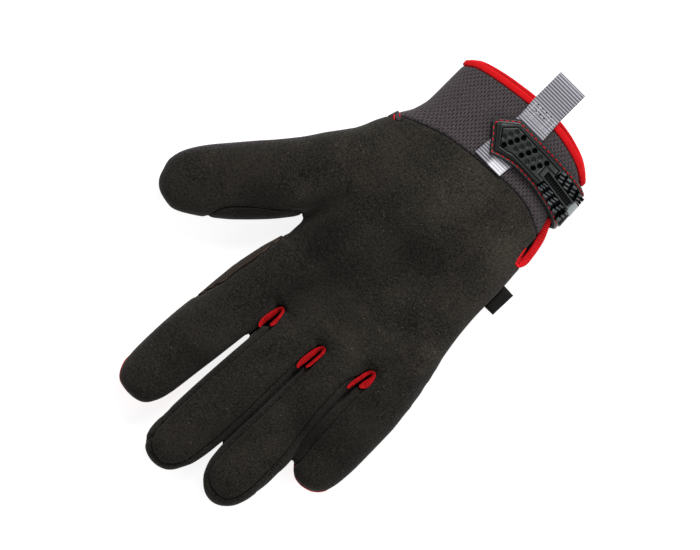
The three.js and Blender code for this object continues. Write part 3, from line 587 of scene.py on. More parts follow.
def outward(x: Array, y: Array, z: Array, off: float = 0.25) -> Array:
    """Finds the surface's outward direction.

    Args:
        x: plan x.
        y: plan y.
        z: height.
        off: how far apart the field is read.

    Returns:
        Unit directions, one a row.
    """
    slope = np.stack([
        hand_field(x + off, y, z) - hand_field(x - off, y, z),
        hand_field(x, y + off, z) - hand_field(x, y - off, z),
        hand_field(x, y, z + off) - hand_field(x, y, z - off),
    ], axis=-1)
    return slope / np.maximum(np.linalg.norm(slope, axis=-1, keepdims=True), 1e-9)


def top_height(x: Array, y: Array) -> Array:
    """Finds how high the glove's surface is.

    Args:
        x: plan x.
        y: plan y.

    Returns:
        The height of the surface, or of its widest place outside it.
    """
    x, y = np.asarray(x, float), np.asarray(y, float)
    low, high = np.full(x.shape, WIDEST_HEIGHT), np.full(x.shape, SKIN_BOX[2][1])
    for _ in range(22):
        half = (low + high) / 2
        inside = hand_field(x, y, half) < 0
        low, high = np.where(inside, half, low), np.where(inside, high, half)
    return low


# Meshes


@dataclass
class Surface:
    """A triangle mesh in millimetres.

    Attributes:
        points: the points, one a row.
        triangles: three point numbers a row.
        normals: the points' outward directions.
    """

    points: Array
    triangles: Array
    normals: Array

    def split(self, value: Array, level: float) -> tuple["Surface", Array]:
        """Cuts the triangles along a line of equal value, and keeps both sides.

        Args:
            value: one number a point.
            level: the value of the line.

        Returns:
            The cut surface, and the values of its points.
        """
        off = np.where(np.abs(value - level) < 0.06, 0.0, value - level)
        sign = np.sign(off)[self.triangles]
        mixed = (sign.max(1) > 0) & (sign.min(1) < 0)
        kept, cut, signs = self.triangles[~mixed], self.triangles[mixed], sign[mixed]
        if not len(cut):
            return self, value
        count = len(self.points)
        through = (signs == 0).any(1)
        lone = np.where(
            through, np.argmax(signs == 0, axis=1),
            np.argmax(signs == -np.sign(signs.sum(1))[:, None], axis=1),
        )
        rows = np.arange(len(cut))
        a, b, c = [cut[rows, (lone + k) % 3] for k in range(3)]
        pairs = np.vstack([
            np.stack([a, b], 1)[~through], np.stack([a, c], 1)[~through], np.stack([b, c], 1)[through],
        ])
        low, high = pairs.min(1), pairs.max(1)
        keys, where = np.unique(low.astype(np.int64) * count + high, return_inverse=True)
        low, high = keys // count, keys % count
        t = (off[low] / (off[low] - off[high]))[:, None]
        mix = lambda data: data[low] * (1 - t) + data[high] * t
        fresh = where.reshape(-1) + count
        n = int((~through).sum())
        ab, ac, bc = fresh[:n], fresh[n:2 * n], fresh[2 * n:]
        o = ~through
        made = np.vstack([
            np.stack([a[o], ab, ac], 1), np.stack([ab, b[o], c[o]], 1), np.stack([ab, c[o], ac], 1),
            np.stack([a[through], b[through], bc], 1), np.stack([a[through], bc, c[through]], 1),
        ])
        normals = np.vstack([self.normals, mix(self.normals)])
        normals /= np.maximum(np.linalg.norm(normals, axis=1, keepdims=True), 1e-9)
        cut_value = np.concatenate([value, np.full(len(keys), level)])
        points = np.vstack([self.points, mix(self.points)])
        return Surface(points, np.vstack([kept, made]), normals), cut_value

    def keep(self, which: Array, *values: Array) -> tuple:
        """Keeps some triangles and their points.

        Args:
            which: true for each triangle that stays.
            values: numbers of the points, which are cut down alike.

        Returns:
            The smaller surface, and its values.
        """
        triangles = self.triangles[which]
        used, where = np.unique(triangles, return_inverse=True)
        fresh = Surface(self.points[used], where.reshape(-1, 3), self.normals[used])
        return (fresh, *[v[used] for v in values])

    def edges(self) -> Array:
        """Finds the open edges, in the direction of their triangles.

        Returns:
            Two point numbers a row.
        """
        t = self.triangles
        pairs = np.vstack([t[:, [0, 1]], t[:, [1, 2]], t[:, [2, 0]]])
        keys = pairs.min(1).astype(np.int64) * len(self.points) + pairs.max(1)
        _, first, count = np.unique(keys, return_index=True, return_counts=True)
        return pairs[first[count == 1]]


def surface_nets(values: Array, corner: Array, pitch: float) -> tuple[Array, Array]:
    """Wraps the zero level of a field in quads.

    Args:
        values: the field at the points of a grid.
        corner: the grid's first point.
        pitch: the grid's step.

    Returns:
        The points, and four point numbers a row.
    """
    inside = values < 0
    shape = np.array(values.shape) - 1
    total = np.zeros((*shape, 3))
    count = np.zeros(shape)
    crossings = []
    for axis in range(3):
        ahead = [slice(None)] * 3
        behind = [slice(None)] * 3
        ahead[axis], behind[axis] = slice(1, None), slice(None, -1)
        a, b = values[tuple(behind)], values[tuple(ahead)]
        cross = np.argwhere((a < 0) != (b < 0))
        i, j, k = cross.T
        t = a[i, j, k] / (a[i, j, k] - b[i, j, k])
        place = cross.astype(float)
        place[:, axis] += t
        others = [n for n in range(3) if n != axis]
        for first in (0, -1):
            for second in (0, -1):
                cell = cross.copy()
                cell[:, others[0]] += first
                cell[:, others[1]] += second
                fine = ((cell >= 0) & (cell < shape)).all(1)
                where = tuple(cell[fine].T)
                np.add.at(total, where, place[fine])
                np.add.at(count, where, 1)
        crossings.append((axis, others, cross, inside[i, j, k]))
    used = count > 0
    number = np.full(shape, -1)
    number[used] = np.arange(used.sum())
    points = total[used] / count[used][:, None] * pitch + corner
    quads = []
    for axis, others, cross, solid in crossings:
        ring = []
        for first, second in ((0, 0), (-1, 0), (-1, -1), (0, -1)):
            cell = cross.copy()
            cell[:, others[0]] += first
            cell[:, others[1]] += second
            ring.append(cell)
        fine = np.all([((c >= 0) & (c < shape)).all(1) for c in ring], axis=0)
        quad = np.stack([number[tuple(c[fine].T)] for c in ring], axis=1)
        flip = solid[fine] if axis != 1 else ~solid[fine]
        quads.append(np.where(flip[:, None], quad, quad[:, ::-1]))
    return points, np.vstack(quads)


def build_skin() -> Surface:
    """Makes the glove's whole outer surface.

    Returns:
        The surface, with its folds.
    """
    x, y, z = [np.arange(low, high, SKIN_PITCH) for low, high in SKIN_BOX]
    values = np.broadcast_to(
        hand_field(x[:, None, None], y[None, :, None], z[None, None, :]), (len(x), len(y), len(z)))
    points, quads = surface_nets(np.ascontiguousarray(values), np.array([x[0], y[0], z[0]]), SKIN_PITCH)
    for _ in range(4):
        normals = outward(*points.T)
        steep = hand_field(*(points + 0.15 * normals).T) - hand_field(*(points - 0.15 * normals).T)
        step = 0.3 * hand_field(*points.T) / np.maximum(steep, 0.1)
        points = points - normals * np.clip(step, -0.6, 0.6)[:, None]
    normals = outward(*points.T, 0.4)
    triangles = np.vstack([quads[:, [0, 1, 2]], quads[:, [0, 2, 3]]])
    a, b, c = [points[triangles[:, k]] for k in range(3)]
    facing = np.einsum("ij,ij->i", np.cross(b - a, c - a), normals[triangles[:, 0]])
    LOG.info("skin of %d points, %d of %d triangles face in", len(points), (facing < 0).sum(), len(facing))
    if (facing < 0).mean() > 0.5:
        triangles = triangles[:, ::-1]
    return Surface(points, triangles, normals)


def mesh_object(name: str, points: Array, faces: Sequence, material: Material,
                uv: Array | None = None, grey_and_painted_light: Array | None = None) -> Object:
    """Makes a smooth mesh object in the scene.

    Args:
        name: the object's name.
        points: points in millimetres.
        faces: the faces' point numbers.
        material: its finish.
        uv: a coordinate pair for each face corner, if it has any.
        grey_and_painted_light: how pale each point is, if that varies.

    Returns:
        The object, at the origin.
    """
    mesh = bpy.data.meshes.new(name)
    faces = faces.tolist() if isinstance(faces, np.ndarray) else faces
    mesh.from_pydata((np.asarray(points) * MM).tolist(), [], faces)
    mesh.polygons.foreach_set("use_smooth", np.ones(len(mesh.polygons), bool))
    if uv is not None:
        layer = mesh.uv_layers.new(name="Cloth")
        layer.data.foreach_set("uv", np.asarray(uv, np.float32).ravel())
    if grey_and_painted_light is not None:
        layer = mesh.attributes.new("Grey", "FLOAT", "POINT")
        layer.data.foreach_set("value", np.asarray(grey_and_painted_light, np.float32).ravel())
    mesh.materials.append(material)
    mesh.update()
    made = bpy.data.objects.new(name, mesh)
    bpy.context.scene.collection.objects.link(made)
    return made


def thickened(surface: Surface, thick: float) -> tuple[Array, Array]:
    """Gives a surface a wall on its inner side.

    Args:
        surface: the outer side.
        thick: the wall's thickness.

    Returns:
        The points and triangles of the closed wall.
    """
    count = len(surface.points)
    points = np.vstack([surface.points, surface.points - surface.normals * thick])
    rim = surface.edges()
    a, b = rim.T
    walls = np.vstack([np.stack([b, a, a + count], 1), np.stack([b, a + count, b + count], 1)])
    return points, np.vstack([surface.triangles, surface.triangles[:, ::-1] + count, walls])


def swept(path: Array, side: Array, up: Array, profile: Array, closed: bool) -> tuple[Array, list]:
    """Sweeps a closed profile along a path.

    Args:
        path: the path's points.
        side: the profile's first direction at each point.
        up: its second direction at each point.
        profile: the profile's points, drawn anticlockwise, or one profile a path point.
        closed: whether the path is a ring.

    Returns:
        The points, and the faces.
    """
    n = len(path)
    shape = np.broadcast_to(profile, (n, *profile.shape[-2:])).astype(float)
    m = shape.shape[1]
    points = path[:, None] + shape[..., :1] * side[:, None] + shape[..., 1:] * up[:, None]
    at = np.arange(m)
    faces = []
    for i in range(n if closed else n - 1):
        here, ahead = i * m, (i + 1) % n * m
        quad = np.stack([here + at, here + (at + 1) % m, ahead + (at + 1) % m, ahead + at], 1)
        faces.extend(quad.tolist())
    if not closed:
        faces.append(at[::-1].tolist())
        faces.append((at + (n - 1) * m).tolist())
    flat = points.reshape(-1, 3)
    return flat, outward_faces(flat, faces)


def outward_faces(points: Array, faces: list) -> list:
    """Turns the faces of a closed mesh outwards.

    Args:
        points: its points.
        faces: its faces, all turned one way.

    Returns:
        The faces, turned outwards.
    """
    total = 0.0
    for f in faces:
        a = points[f[0]]
        for j in range(1, len(f) - 1):
            total += float(np.dot(a, np.cross(points[f[j]], points[f[j + 1]])))
    return faces if total > 0 else [list(f)[::-1] for f in faces]


def rounded_box(wide: float, tall: float, corner: float, steps: int = 3) -> Array:
    """Draws a rectangle with round corners.

    Args:
        wide: its whole width.
        tall: its whole height.
        corner: its corners' radius.
        steps: how many steps a corner has.

    Returns:
        Its points, anticlockwise.
    """
    points = []
    for k, (sx, sy) in enumerate(((1, 1), (-1, 1), (-1, -1), (1, -1))):
        for t in np.linspace(0, math.pi / 2, steps + 1) + k * math.pi / 2:
            points.append((sx * (wide / 2 - corner) + corner * math.cos(t),
                           sy * (tall / 2 - corner) + corner * math.sin(t)))
    return np.array(points)


# Finishes


class Shader:
    """Builds one material's nodes.

    Attributes:
        material: the material.
        surface: its main shader node.
    """

    def __init__(self, name: str) -> None:
        """Starts a material.

        Args:
            name: the real material's name.
        """
        self.material = bpy.data.materials.new(name)
        self.material.use_nodes = True
        self.tree = self.material.node_tree
        self.surface = self.tree.nodes["Principled BSDF"]

    def node(self, kind: str, links: dict | None = None, **settings: object) -> bpy.types.Node:
        """Adds a node.

        Args:
            kind: the node's type, without its prefix.
            links: for each input, a socket that drives it or a value.
            settings: the node's own settings.

        Returns:
            The node.
        """
        made = self.tree.nodes.new("ShaderNode" + kind)
        for key, value in settings.items():
            setattr(made, key, value)
        for key, value in (links or {}).items():
            if isinstance(value, Socket):
                self.tree.links.new(value, made.inputs[key])
            else:
                made.inputs[key].default_value = value
        return made

    def math(self, operation: str, *values: Socket | float) -> Socket:
        """Adds a math node for the operation on sockets or numbers, and gives its result."""
        return self.node("Math", dict(enumerate(values)), operation=operation).outputs[0]

    def place(self, uv: bool = False) -> Socket:
        """Gives the coordinates in millimetres.

        Args:
            uv: whether they are the cloth's own instead of the object's.

        Returns:
            The coordinates.
        """
        source = self.node("TexCoord").outputs["UV" if uv else "Object"]
        scale = 1.0 if uv else 1000.0
        return self.node("VectorMath", {0: source, 3: scale}, operation="SCALE").outputs[0]

    def noise(self, at: Socket, size: float, detail: float = 2.0,
              rough: float = 0.5) -> Socket:
        """Gives noise from 0 to 1, with bumps of a size in millimetres and finer, rougher layers."""
        links = {"Vector": at, "Scale": 1 / size, "Detail": detail, "Roughness": rough}
        return self.node("TexNoise", links).outputs["Fac"]

    def span(self, value: Socket, low: float, high: float, first: float = 0.0,
             last: float = 1.0, kind: str = "LINEAR") -> Socket:
        """Maps a value from low..high to first..last and holds it there, straight or eased by kind."""
        links = {0: value, 1: low, 2: high, 3: first, 4: last}
        return self.node("MapRange", links, interpolation_type=kind).outputs[0]

    def ribs(self, value: Socket, pitch: float) -> Socket:
        """Gives ribs of a pitch in millimetres: a wave from 0 in each groove to 1 on each rib."""
        return self.math("MULTIPLY", self.math("PINGPONG", self.math("DIVIDE", value, pitch), 0.5), 2.0)

    def mixed(self, share: Socket | float, first: Socket | tuple, second: Socket | tuple) -> Socket:
        """Mixes two colours or sockets, share being how much of the second there is."""
        made = self.node("Mix", {0: share, 6: first, 7: second}, data_type="RGBA")
        return made.outputs[2]

    def bump(self, height: Socket, deep: float, strength: float = 1.0) -> None:
        """Roughens the surface by a height.

        Args:
            height: from 0 to 1.
            deep: how deep that is in millimetres.
            strength: how strong it is.
        """
        links = {"Height": height, "Distance": deep * MM, "Strength": strength}
        before = self.surface.inputs["Normal"].links
        if before:
            links["Normal"] = before[0].from_socket
        self.tree.links.new(self.node("Bump", links).outputs[0], self.surface.inputs["Normal"])

    def finish(self, colour: Socket | tuple, roughness: float, sheen: float = 0.0,
               specular: float = 0.5) -> Material:
        """Sets the main shader.

        Args:
            colour: the base colour or its socket.
            roughness: how rough it is.
            sheen: how much fuzz catches the light.
            specular: how strong its own gloss is.

        Returns:
            The material.
        """
        inputs = self.surface.inputs
        if isinstance(colour, Socket):
            self.tree.links.new(colour, inputs["Base Color"])
        else:
            inputs["Base Color"].default_value = colour
        inputs["Roughness"].default_value = roughness
        inputs["Sheen Weight"].default_value = sheen
        inputs["Sheen Roughness"].default_value = 0.5
        inputs["Specular IOR Level"].default_value = specular
        return self.material


@dataclass(frozen=True)
class Suede:
    """Synthetic suede: a matt napped cloth with a fine grain, soft blotches of wear and pale flecks, and
    painted light and shade in listed places.

    Attributes:
        painted_light_and_shade: listed places painted lighter where light falls on the hand's form and darker
            where shade falls: x, y, z, reach and gain.
    """

    name: str = "Synthetic suede"
    dark: str = "060605"
    light: str = "35312b"
    flecks_and_highlight: str = "625e56"
    painted_light_and_shade: tuple = (
        (6, -48, 30, 36, 0.4), (-42, 14, 20, 26, 0.45), (2, -6, 29, 34, -0.32), (-34, 74, 20, 38, -0.35),
        (82, 18, 26, 32, -0.2), (40, 48, 22, 26, -0.15), (67, 21, 20, 22, -0.45), (41, 12, 24, 18, -0.5),
        (19, 25, 24, 24, -0.42), (26, 43, 22, 14, -0.32), (37, 96, 18, 18, -0.48), (6, 113, 16, 16, -0.48),
        (-22, 84, 18, 16, -0.4), (-34, 28, 22, 14, -0.28), (-29, -43, 22, 24, 0.6), (-36, -16, 22, 20, 0.42),
        (-10, 7, 27, 20, 0.34), (58, -28, 22, 18, 0.3), (100, 22, 18, 14, 0.3),
    )

    def make(self) -> Material:
        """Builds the material.

        Returns:
            The material.
        """
        s = Shader(self.name)
        at = s.place()
        nap = s.noise(at, 0.85, 3.0, 0.75)
        patches = s.noise(at, 24.0, 2.0)
        flecks = s.noise(at, 1.0, 1.0, 0.6)
        tone = s.math("ADD", s.math("MULTIPLY", nap, 0.72), s.math("MULTIPLY", patches, 0.24))
        colour = s.mixed(s.span(tone, 0.36, 0.65), linear(self.dark), linear(self.light))
        colour = s.mixed(s.span(flecks, 0.7, 0.8, 0, 0.6), colour, linear(self.flecks_and_highlight))
        # Painted light and shade: each listed place scales the colour up where light falls on the form, and
        # down in valleys and on the fingers' lower sides where shade falls.
        painted_light_and_shade = 1.0
        for x, y, z, reach, gain in self.painted_light_and_shade:
            off = s.node("VectorMath", {0: at, 1: (x, y, z)}, operation="DISTANCE").outputs["Value"]
            painted_light_and_shade = s.math("ADD", painted_light_and_shade, s.span(off, reach, 0.0, 0.0, gain, "SMOOTHSTEP"))
        colour = s.node("VectorMath", {0: colour, 3: painted_light_and_shade}, operation="SCALE").outputs[0]
        s.bump(nap, 0.3, 0.9)
        s.bump(s.noise(at, 5.0, 3.0), 0.6, 0.4)
        return s.finish(colour, 0.95, sheen=0.06, specular=0.12)


@dataclass(frozen=True)
class AirMesh:
    """Air-mesh knit: charcoal yarn with staggered slits that run along the hand."""

    name: str = "Air-mesh knit"
    yarn: str = "4c4548"
    shade: str = "322c2f"
    slit: str = "050404"
    uv: bool = True
    across: float = 1.2
    along: float = 2.7

    def make(self) -> Material:
        """Builds the material.

        Returns:
            The material.
        """
        s = Shader(self.name)
        at = s.place(self.uv)
        wobble = s.noise(at, 3.0, 1.0)
        axes = s.node("SeparateXYZ", {0: at}).outputs
        column = s.math("DIVIDE", axes[0], self.across)
        shifted = s.math("FLOORED_MODULO", s.math("FLOOR", column), 2.0)
        row = s.math("ADD", s.math("DIVIDE", axes[1], self.along), s.math("MULTIPLY", shifted, 0.5))
        row = s.math("ADD", row, s.math("MULTIPLY", wobble, 0.35))
        u = s.math("ABSOLUTE", s.math("SUBTRACT", s.math("FRACT", column), 0.5))
        v = s.math("ABSOLUTE", s.math("SUBTRACT", s.math("FRACT", row), 0.5))
        reach = s.math("ADD", s.math("POWER", s.math("DIVIDE", u, 0.24), 2.0),
                       s.math("POWER", s.math("DIVIDE", v, 0.36), 2.0))
        hole = s.span(reach, 0.5, 1.15, 1.0, 0.0)
        strength = s.span(s.noise(at, 7.0, 2.0), 0.35, 0.65, 0.6, 1.0)
        yarn = s.mixed(s.span(s.noise(at, 0.7, 2.0), 0.35, 0.65), linear(self.shade), linear(self.yarn))
        colour = s.mixed(s.math("MULTIPLY", hole, strength), yarn, linear(self.slit))
        s.bump(s.math("SUBTRACT", 1.0, hole), 0.35, 0.7)
        s.bump(s.noise(at, 0.35, 1.0), 0.08, 0.6)
        return s.finish(colour, 0.9, sheen=0.08, specular=0.15)


@dataclass(frozen=True)
class Elastic:
    """Ribbed elastic: dark brown cords side by side, which shine a little."""

    name: str = "Ribbed elastic"
    rib: str = "4a3e36"
    groove: str = "0a0807"
    pitch: float = 1.5

    def make(self) -> Material:
        """Builds the material.

        Returns:
            The material.
        """
        s = Shader(self.name)
        at = s.place(True)
        axes = s.node("SeparateXYZ", {0: at}).outputs
        wave = s.ribs(axes[0], self.pitch)
        fine = s.math("PINGPONG", s.math("DIVIDE", axes[1], 0.8), 0.5)
        colour = s.mixed(s.span(wave, 0.15, 0.85), linear(self.groove), linear(self.rib))
        s.bump(wave, 0.4, 0.9)
        s.bump(fine, 0.12, 0.6)
        return s.finish(colour, 0.75, specular=0.12)


@dataclass(frozen=True)
class RedTape:
    """Knitted binding tape: bright red with fine cross ribs that darken in their grooves."""

    name: str = "Red binding tape"
    bright: str = "d6151a"
    deep: str = "9a0a10"
    rib: float = 0.95

    def make(self) -> Material:
        """Builds the material.

        Returns:
            The material.
        """
        s = Shader(self.name)
        at = s.place(True)
        axes = s.node("SeparateXYZ", {0: at}).outputs
        along = s.math("ADD", axes[0], s.math("MULTIPLY", s.noise(at, 2.5, 1.0), 0.5))
        wave = s.ribs(along, self.rib)
        grain = s.noise(at, 0.6, 2.0)
        tone = s.math("ADD", s.math("MULTIPLY", wave, 0.55), s.math("MULTIPLY", grain, 0.6))
        colour = s.mixed(s.span(tone, 0.25, 0.8), linear(self.deep), linear(self.bright))
        s.bump(wave, 0.3, 0.7)
        s.bump(grain, 0.15, 0.5)
        return s.finish(colour, 0.85, specular=0.1)


@dataclass(frozen=True)
class Plain:
    """An even material with a fine grain, such as thread, moulded rubber or satin."""

    name: str
    colour: str
    roughness: float
    grain: float = 0.0
    grain_size: float = 0.5
    specular: float = 0.5
    second: str = ""

    def make(self) -> Material:
        """Builds the material.

        Returns:
            The material.
        """
        s = Shader(self.name)
        colour = linear(self.colour)
        if self.grain or self.second:
            fine = s.noise(s.place(), self.grain_size, 2.0)
            if self.second:
                colour = s.mixed(s.span(fine, 0.3, 0.7), colour, linear(self.second))
            if self.grain:
                s.bump(fine, self.grain, 0.7)
        return s.finish(colour, self.roughness, specular=self.specular)


@dataclass(frozen=True)
class MouldedRubber:
    """Moulded rubber: satin grey-black, whose paleness is read from a point attribute that holds the
    moulding's tone with painted shade and painted highlights in it.
    """

    name: str = "Moulded rubber"
    tint: str = "f4ffff"

    def make(self) -> Material:
        """Builds the material.

        Returns:
            The material.
        """
        s = Shader(self.name)
        level = s.node("Attribute", attribute_name="Grey").outputs["Fac"]
        grain = s.noise(s.place(), 0.5, 2.0)
        tone = s.math("MULTIPLY", level, s.span(grain, 0.3, 0.7, 0.85, 1.1))
        s.bump(grain, 0.05, 0.6)
        made = s.finish(s.mixed(tone, linear("000000"), linear(self.tint)), 0.36)
        s.tree.links.new(s.span(level, 0.002, 0.01, 0.03, 0.35), s.surface.inputs["Specular IOR Level"])
        return made


@dataclass(frozen=True)
class TreadRubber:
    """Moulded rubber of the tread, with painted light and shade: faces that look out from the cuff are
    painted grey as lit, and sides and gaps near-black as shade.
    """

    name: str = "Moulded rubber blocks with painted light"
    face: str = "292f32"
    side: str = "020202"
    centre: tuple = (7.0, 15.4)
    halves: tuple = (39.0, 13.4)

    def make(self) -> Material:
        """Builds the material.

        Returns:
            The material.
        """
        s = Shader(self.name)
        # Painted light and shade: how far each face looks outward from the cuff's middle makes it grey as lit
        # or near-black as shaded, and its shine follows the same split.
        facing = s.node("SeparateXYZ", {0: s.node("NewGeometry").outputs["Normal"]}).outputs
        spot = s.node("SeparateXYZ", {0: s.place()}).outputs
        out = [s.math("DIVIDE", s.math("SUBTRACT", spot[axis], middle), half * half)
               for axis, middle, half in zip((0, 2), self.centre, self.halves)]
        size = s.math("SQRT", s.math("ADD", *[s.math("MULTIPLY", v, v) for v in out]))
        along = s.math("ADD", s.math("MULTIPLY", out[0], facing[0]), s.math("MULTIPLY", out[1], facing[2]))
        top = s.span(s.math("DIVIDE", along, size), 0.75, 0.9)
        made = s.finish(s.mixed(top, linear(self.side), linear(self.face)), 0.34)
        s.tree.links.new(s.math("MULTIPLY", top, 0.5), s.surface.inputs["Specular IOR Level"])
        return made


@dataclass(frozen=True)
class Webbing:
    """Polyester webbing: grey yarn crossed by lighter ribs, with a painted highlight where it bends up to the
    palm.
    """

    name: str = "Polyester webbing"
    light: str = "a8a7af"
    dark: str = "34333b"
    painted_highlight_colour: str = "d6d6dc"
    rib: float = RIBBON_RIB
    weft: float = 0.9

    def make(self) -> Material:
        """Builds the material.

        Returns:
            The material.
        """
        s = Shader(self.name)
        at = s.place(True)
        axes = s.node("SeparateXYZ", {0: at}).outputs
        wave, weft = s.ribs(axes[0], self.rib), s.ribs(axes[1], self.weft)
        tone = s.math("ADD", s.math("MULTIPLY", wave, 0.85), s.math("MULTIPLY", weft, 0.2))
        tone = s.math("ADD", tone, s.math("MULTIPLY", s.noise(at, 0.8, 2.0), 0.3))
        spot = s.node("SeparateXYZ", {0: s.place()}).outputs
        sewn = s.math("MULTIPLY", s.span(spot[1], -99.9, -99.4), s.span(spot[1], -88.0, -90.0))
        tone = s.math("ADD", tone, s.math("MULTIPLY", sewn, 0.1))
        colour = s.mixed(s.span(tone, 0.35, 1.15), linear(self.dark), linear(self.light))
        # Painted highlight: near the palm's edge, where the ribbon bends up, the colour is mixed towards
        # near-white, most on the pale ribs.
        flecks_and_highlight = s.math("MULTIPLY", s.span(spot[1], -69.0, -66.0), s.span(spot[0], 7.0, 5.0))
        flecks_and_highlight = s.math("MULTIPLY", flecks_and_highlight, s.span(spot[0], -4.0, -1.5))
        flecks_and_highlight = s.math("MULTIPLY", flecks_and_highlight, s.span(tone, 0.25, 0.7, 0.35, 1.0))
        colour = s.mixed(flecks_and_highlight, colour, linear(self.painted_highlight_colour))
        s.bump(weft, 0.1, 0.6)
        return s.finish(colour, 0.6, specular=0.3)


@dataclass(frozen=True)
class LitFloor:
    """White acrylic floor that glows from beneath, so that shadows on it stay faint."""

    name: str = "White lit floor"
    colour: str = "a0a0a0"
    glow: float = 0.85

    def make(self) -> Material:
        """Builds the material.

        Returns:
            The material.
        """
        s = Shader(self.name)
        s.surface.inputs["Emission Color"].default_value = (1.0, 1.0, 1.0, 1.0)
        s.surface.inputs["Emission Strength"].default_value = self.glow
        return s.finish(linear(self.colour), 0.9, specular=0.1)


class Finish(Enum):
    """The glove's materials, each built once."""

    SUEDE = Suede()
    BACK_KNIT = AirMesh("Back knit", "403a3d", "2c282a", "0b090a", uv=False, across=1.3, along=2.2)
    CUFF_MESH = AirMesh()
    ELASTIC = Elastic()
    RED_TAPE = RedTape()
    # Painted shade: the crotch loops get a darker copy of the red tape, with a much darker deep colour in its
    # ribs, for loops that lie in shadow between the fingers.
    SHADED_LOOP_TAPE = RedTape("Red crotch tape with painted shade", "cd141b", "54070a", 0.8)
    NOTCH_TAPE = RedTape("Red slit tape", "e01c23", "7d0b10", 1.0)
    RED_KNIT = RedTape("Red fingertip knit", "c8141c", "8a0b11", 1.2)
    RUBBER = MouldedRubber()
    TREAD = TreadRubber()
    BACKING = Plain("Strap backing cloth", "222426", 0.8, 0.1, 0.4, specular=0.2, second="191a1c")
    WEBBING = Webbing()
    LABEL = Plain("Black satin label", "0a0b08", 0.6, 0.04, 0.3, specular=0.12, second="131410")
    TAB = Plain("Folded mesh tab", "4b4444", 0.9, 0.1, 0.5, specular=0.1, second="332e2e")
    RED_THREAD = Plain("Red thread", "c4151d", 0.7, specular=0.1)
    DARK_THREAD = Plain("Charcoal thread", "232120", 0.8, specular=0.2)
    BLACK_THREAD = Plain("Black thread", "121113", 0.8, specular=0.2)
    GREY_THREAD = Plain("Grey thread", "c4c4ca", 0.7, specular=0.3)

    def material(self) -> Material:
        """Gives the material, and builds it the first time."""
        return bpy.data.materials.get(self.value.name) or self.value.make()


# Repeats by Geometry Nodes


class Repeat(Enum):
    """What a row of repeats is made of."""

    STITCH = "Stitches on a line"
    BLOCK = "Blocks on a surface"

    def tree(self) -> bpy.types.NodeTree:
        """Gives the node tree that sets one shape on every point, and builds it the first time.

        Returns:
            The tree, with inputs Length, Width, Height and Finish.
        """
        found = bpy.data.node_groups.get(self.value)
        if found:
            return found
        tree = bpy.data.node_groups.new(self.value, "GeometryNodeTree")
        sockets = tree.interface
        sockets.new_socket("Geometry", in_out="INPUT", socket_type="NodeSocketGeometry")
        for name in ("Length", "Width", "Height"):
            sockets.new_socket(name, in_out="INPUT", socket_type="NodeSocketFloat")
        sockets.new_socket("Finish", in_out="INPUT", socket_type="NodeSocketMaterial")
        sockets.new_socket("Geometry", in_out="OUTPUT", socket_type="NodeSocketGeometry")
        start, end = tree.nodes.new("NodeGroupInput"), tree.nodes.new("NodeGroupOutput")
        link = tree.links.new
        if self is Repeat.STITCH:
            shape = tree.nodes.new("GeometryNodeMeshUVSphere")
            shape.inputs["Segments"].default_value = 8
            shape.inputs["Rings"].default_value = 6
            shape.inputs["Radius"].default_value = 0.5
            body = shape.outputs["Mesh"]
        else:
            shape = tree.nodes.new("GeometryNodeMeshCube")
            rounded = tree.nodes.new("GeometryNodeSubdivisionSurface")
            rounded.inputs["Level"].default_value = 2
            rounded.inputs["Edge Crease"].default_value = 0.94
            link(shape.outputs["Mesh"], rounded.inputs["Mesh"])
            body = rounded.outputs["Mesh"]
        smooth = tree.nodes.new("GeometryNodeSetShadeSmooth")
        link(body, smooth.inputs["Geometry"])
        size = tree.nodes.new("ShaderNodeCombineXYZ")
        for axis, name in zip("XYZ", ("Length", "Width", "Height")):
            link(start.outputs[name], size.inputs[axis])
        turn = tree.nodes.new("FunctionNodeAxesToRotation")
        turn.primary_axis, turn.secondary_axis = "X", "Z"
        scaled = tree.nodes.new("ShaderNodeVectorMath")
        scaled.operation = "MULTIPLY"
        link(size.outputs["Vector"], scaled.inputs[0])
        targets = (turn.inputs[0], turn.inputs[1], scaled.inputs[1])
        for name, socket in zip(("along", "up", "stretch"), targets):
            read = tree.nodes.new("GeometryNodeInputNamedAttribute")
            read.data_type = "FLOAT_VECTOR"
            read.inputs["Name"].default_value = name
            link(read.outputs["Attribute"], socket)
        put = tree.nodes.new("GeometryNodeInstanceOnPoints")
        link(start.outputs["Geometry"], put.inputs["Points"])
        link(smooth.outputs["Geometry"], put.inputs["Instance"])
        link(turn.outputs["Rotation"], put.inputs["Rotation"])
        link(scaled.outputs["Vector"], put.inputs["Scale"])
        real = tree.nodes.new("GeometryNodeRealizeInstances")
        coat = tree.nodes.new("GeometryNodeSetMaterial")
        link(put.outputs["Instances"], real.inputs["Geometry"])
        link(real.outputs["Geometry"], coat.inputs["Geometry"])
        link(start.outputs["Finish"], coat.inputs["Material"])
        link(coat.outputs["Geometry"], end.inputs["Geometry"])
        return tree


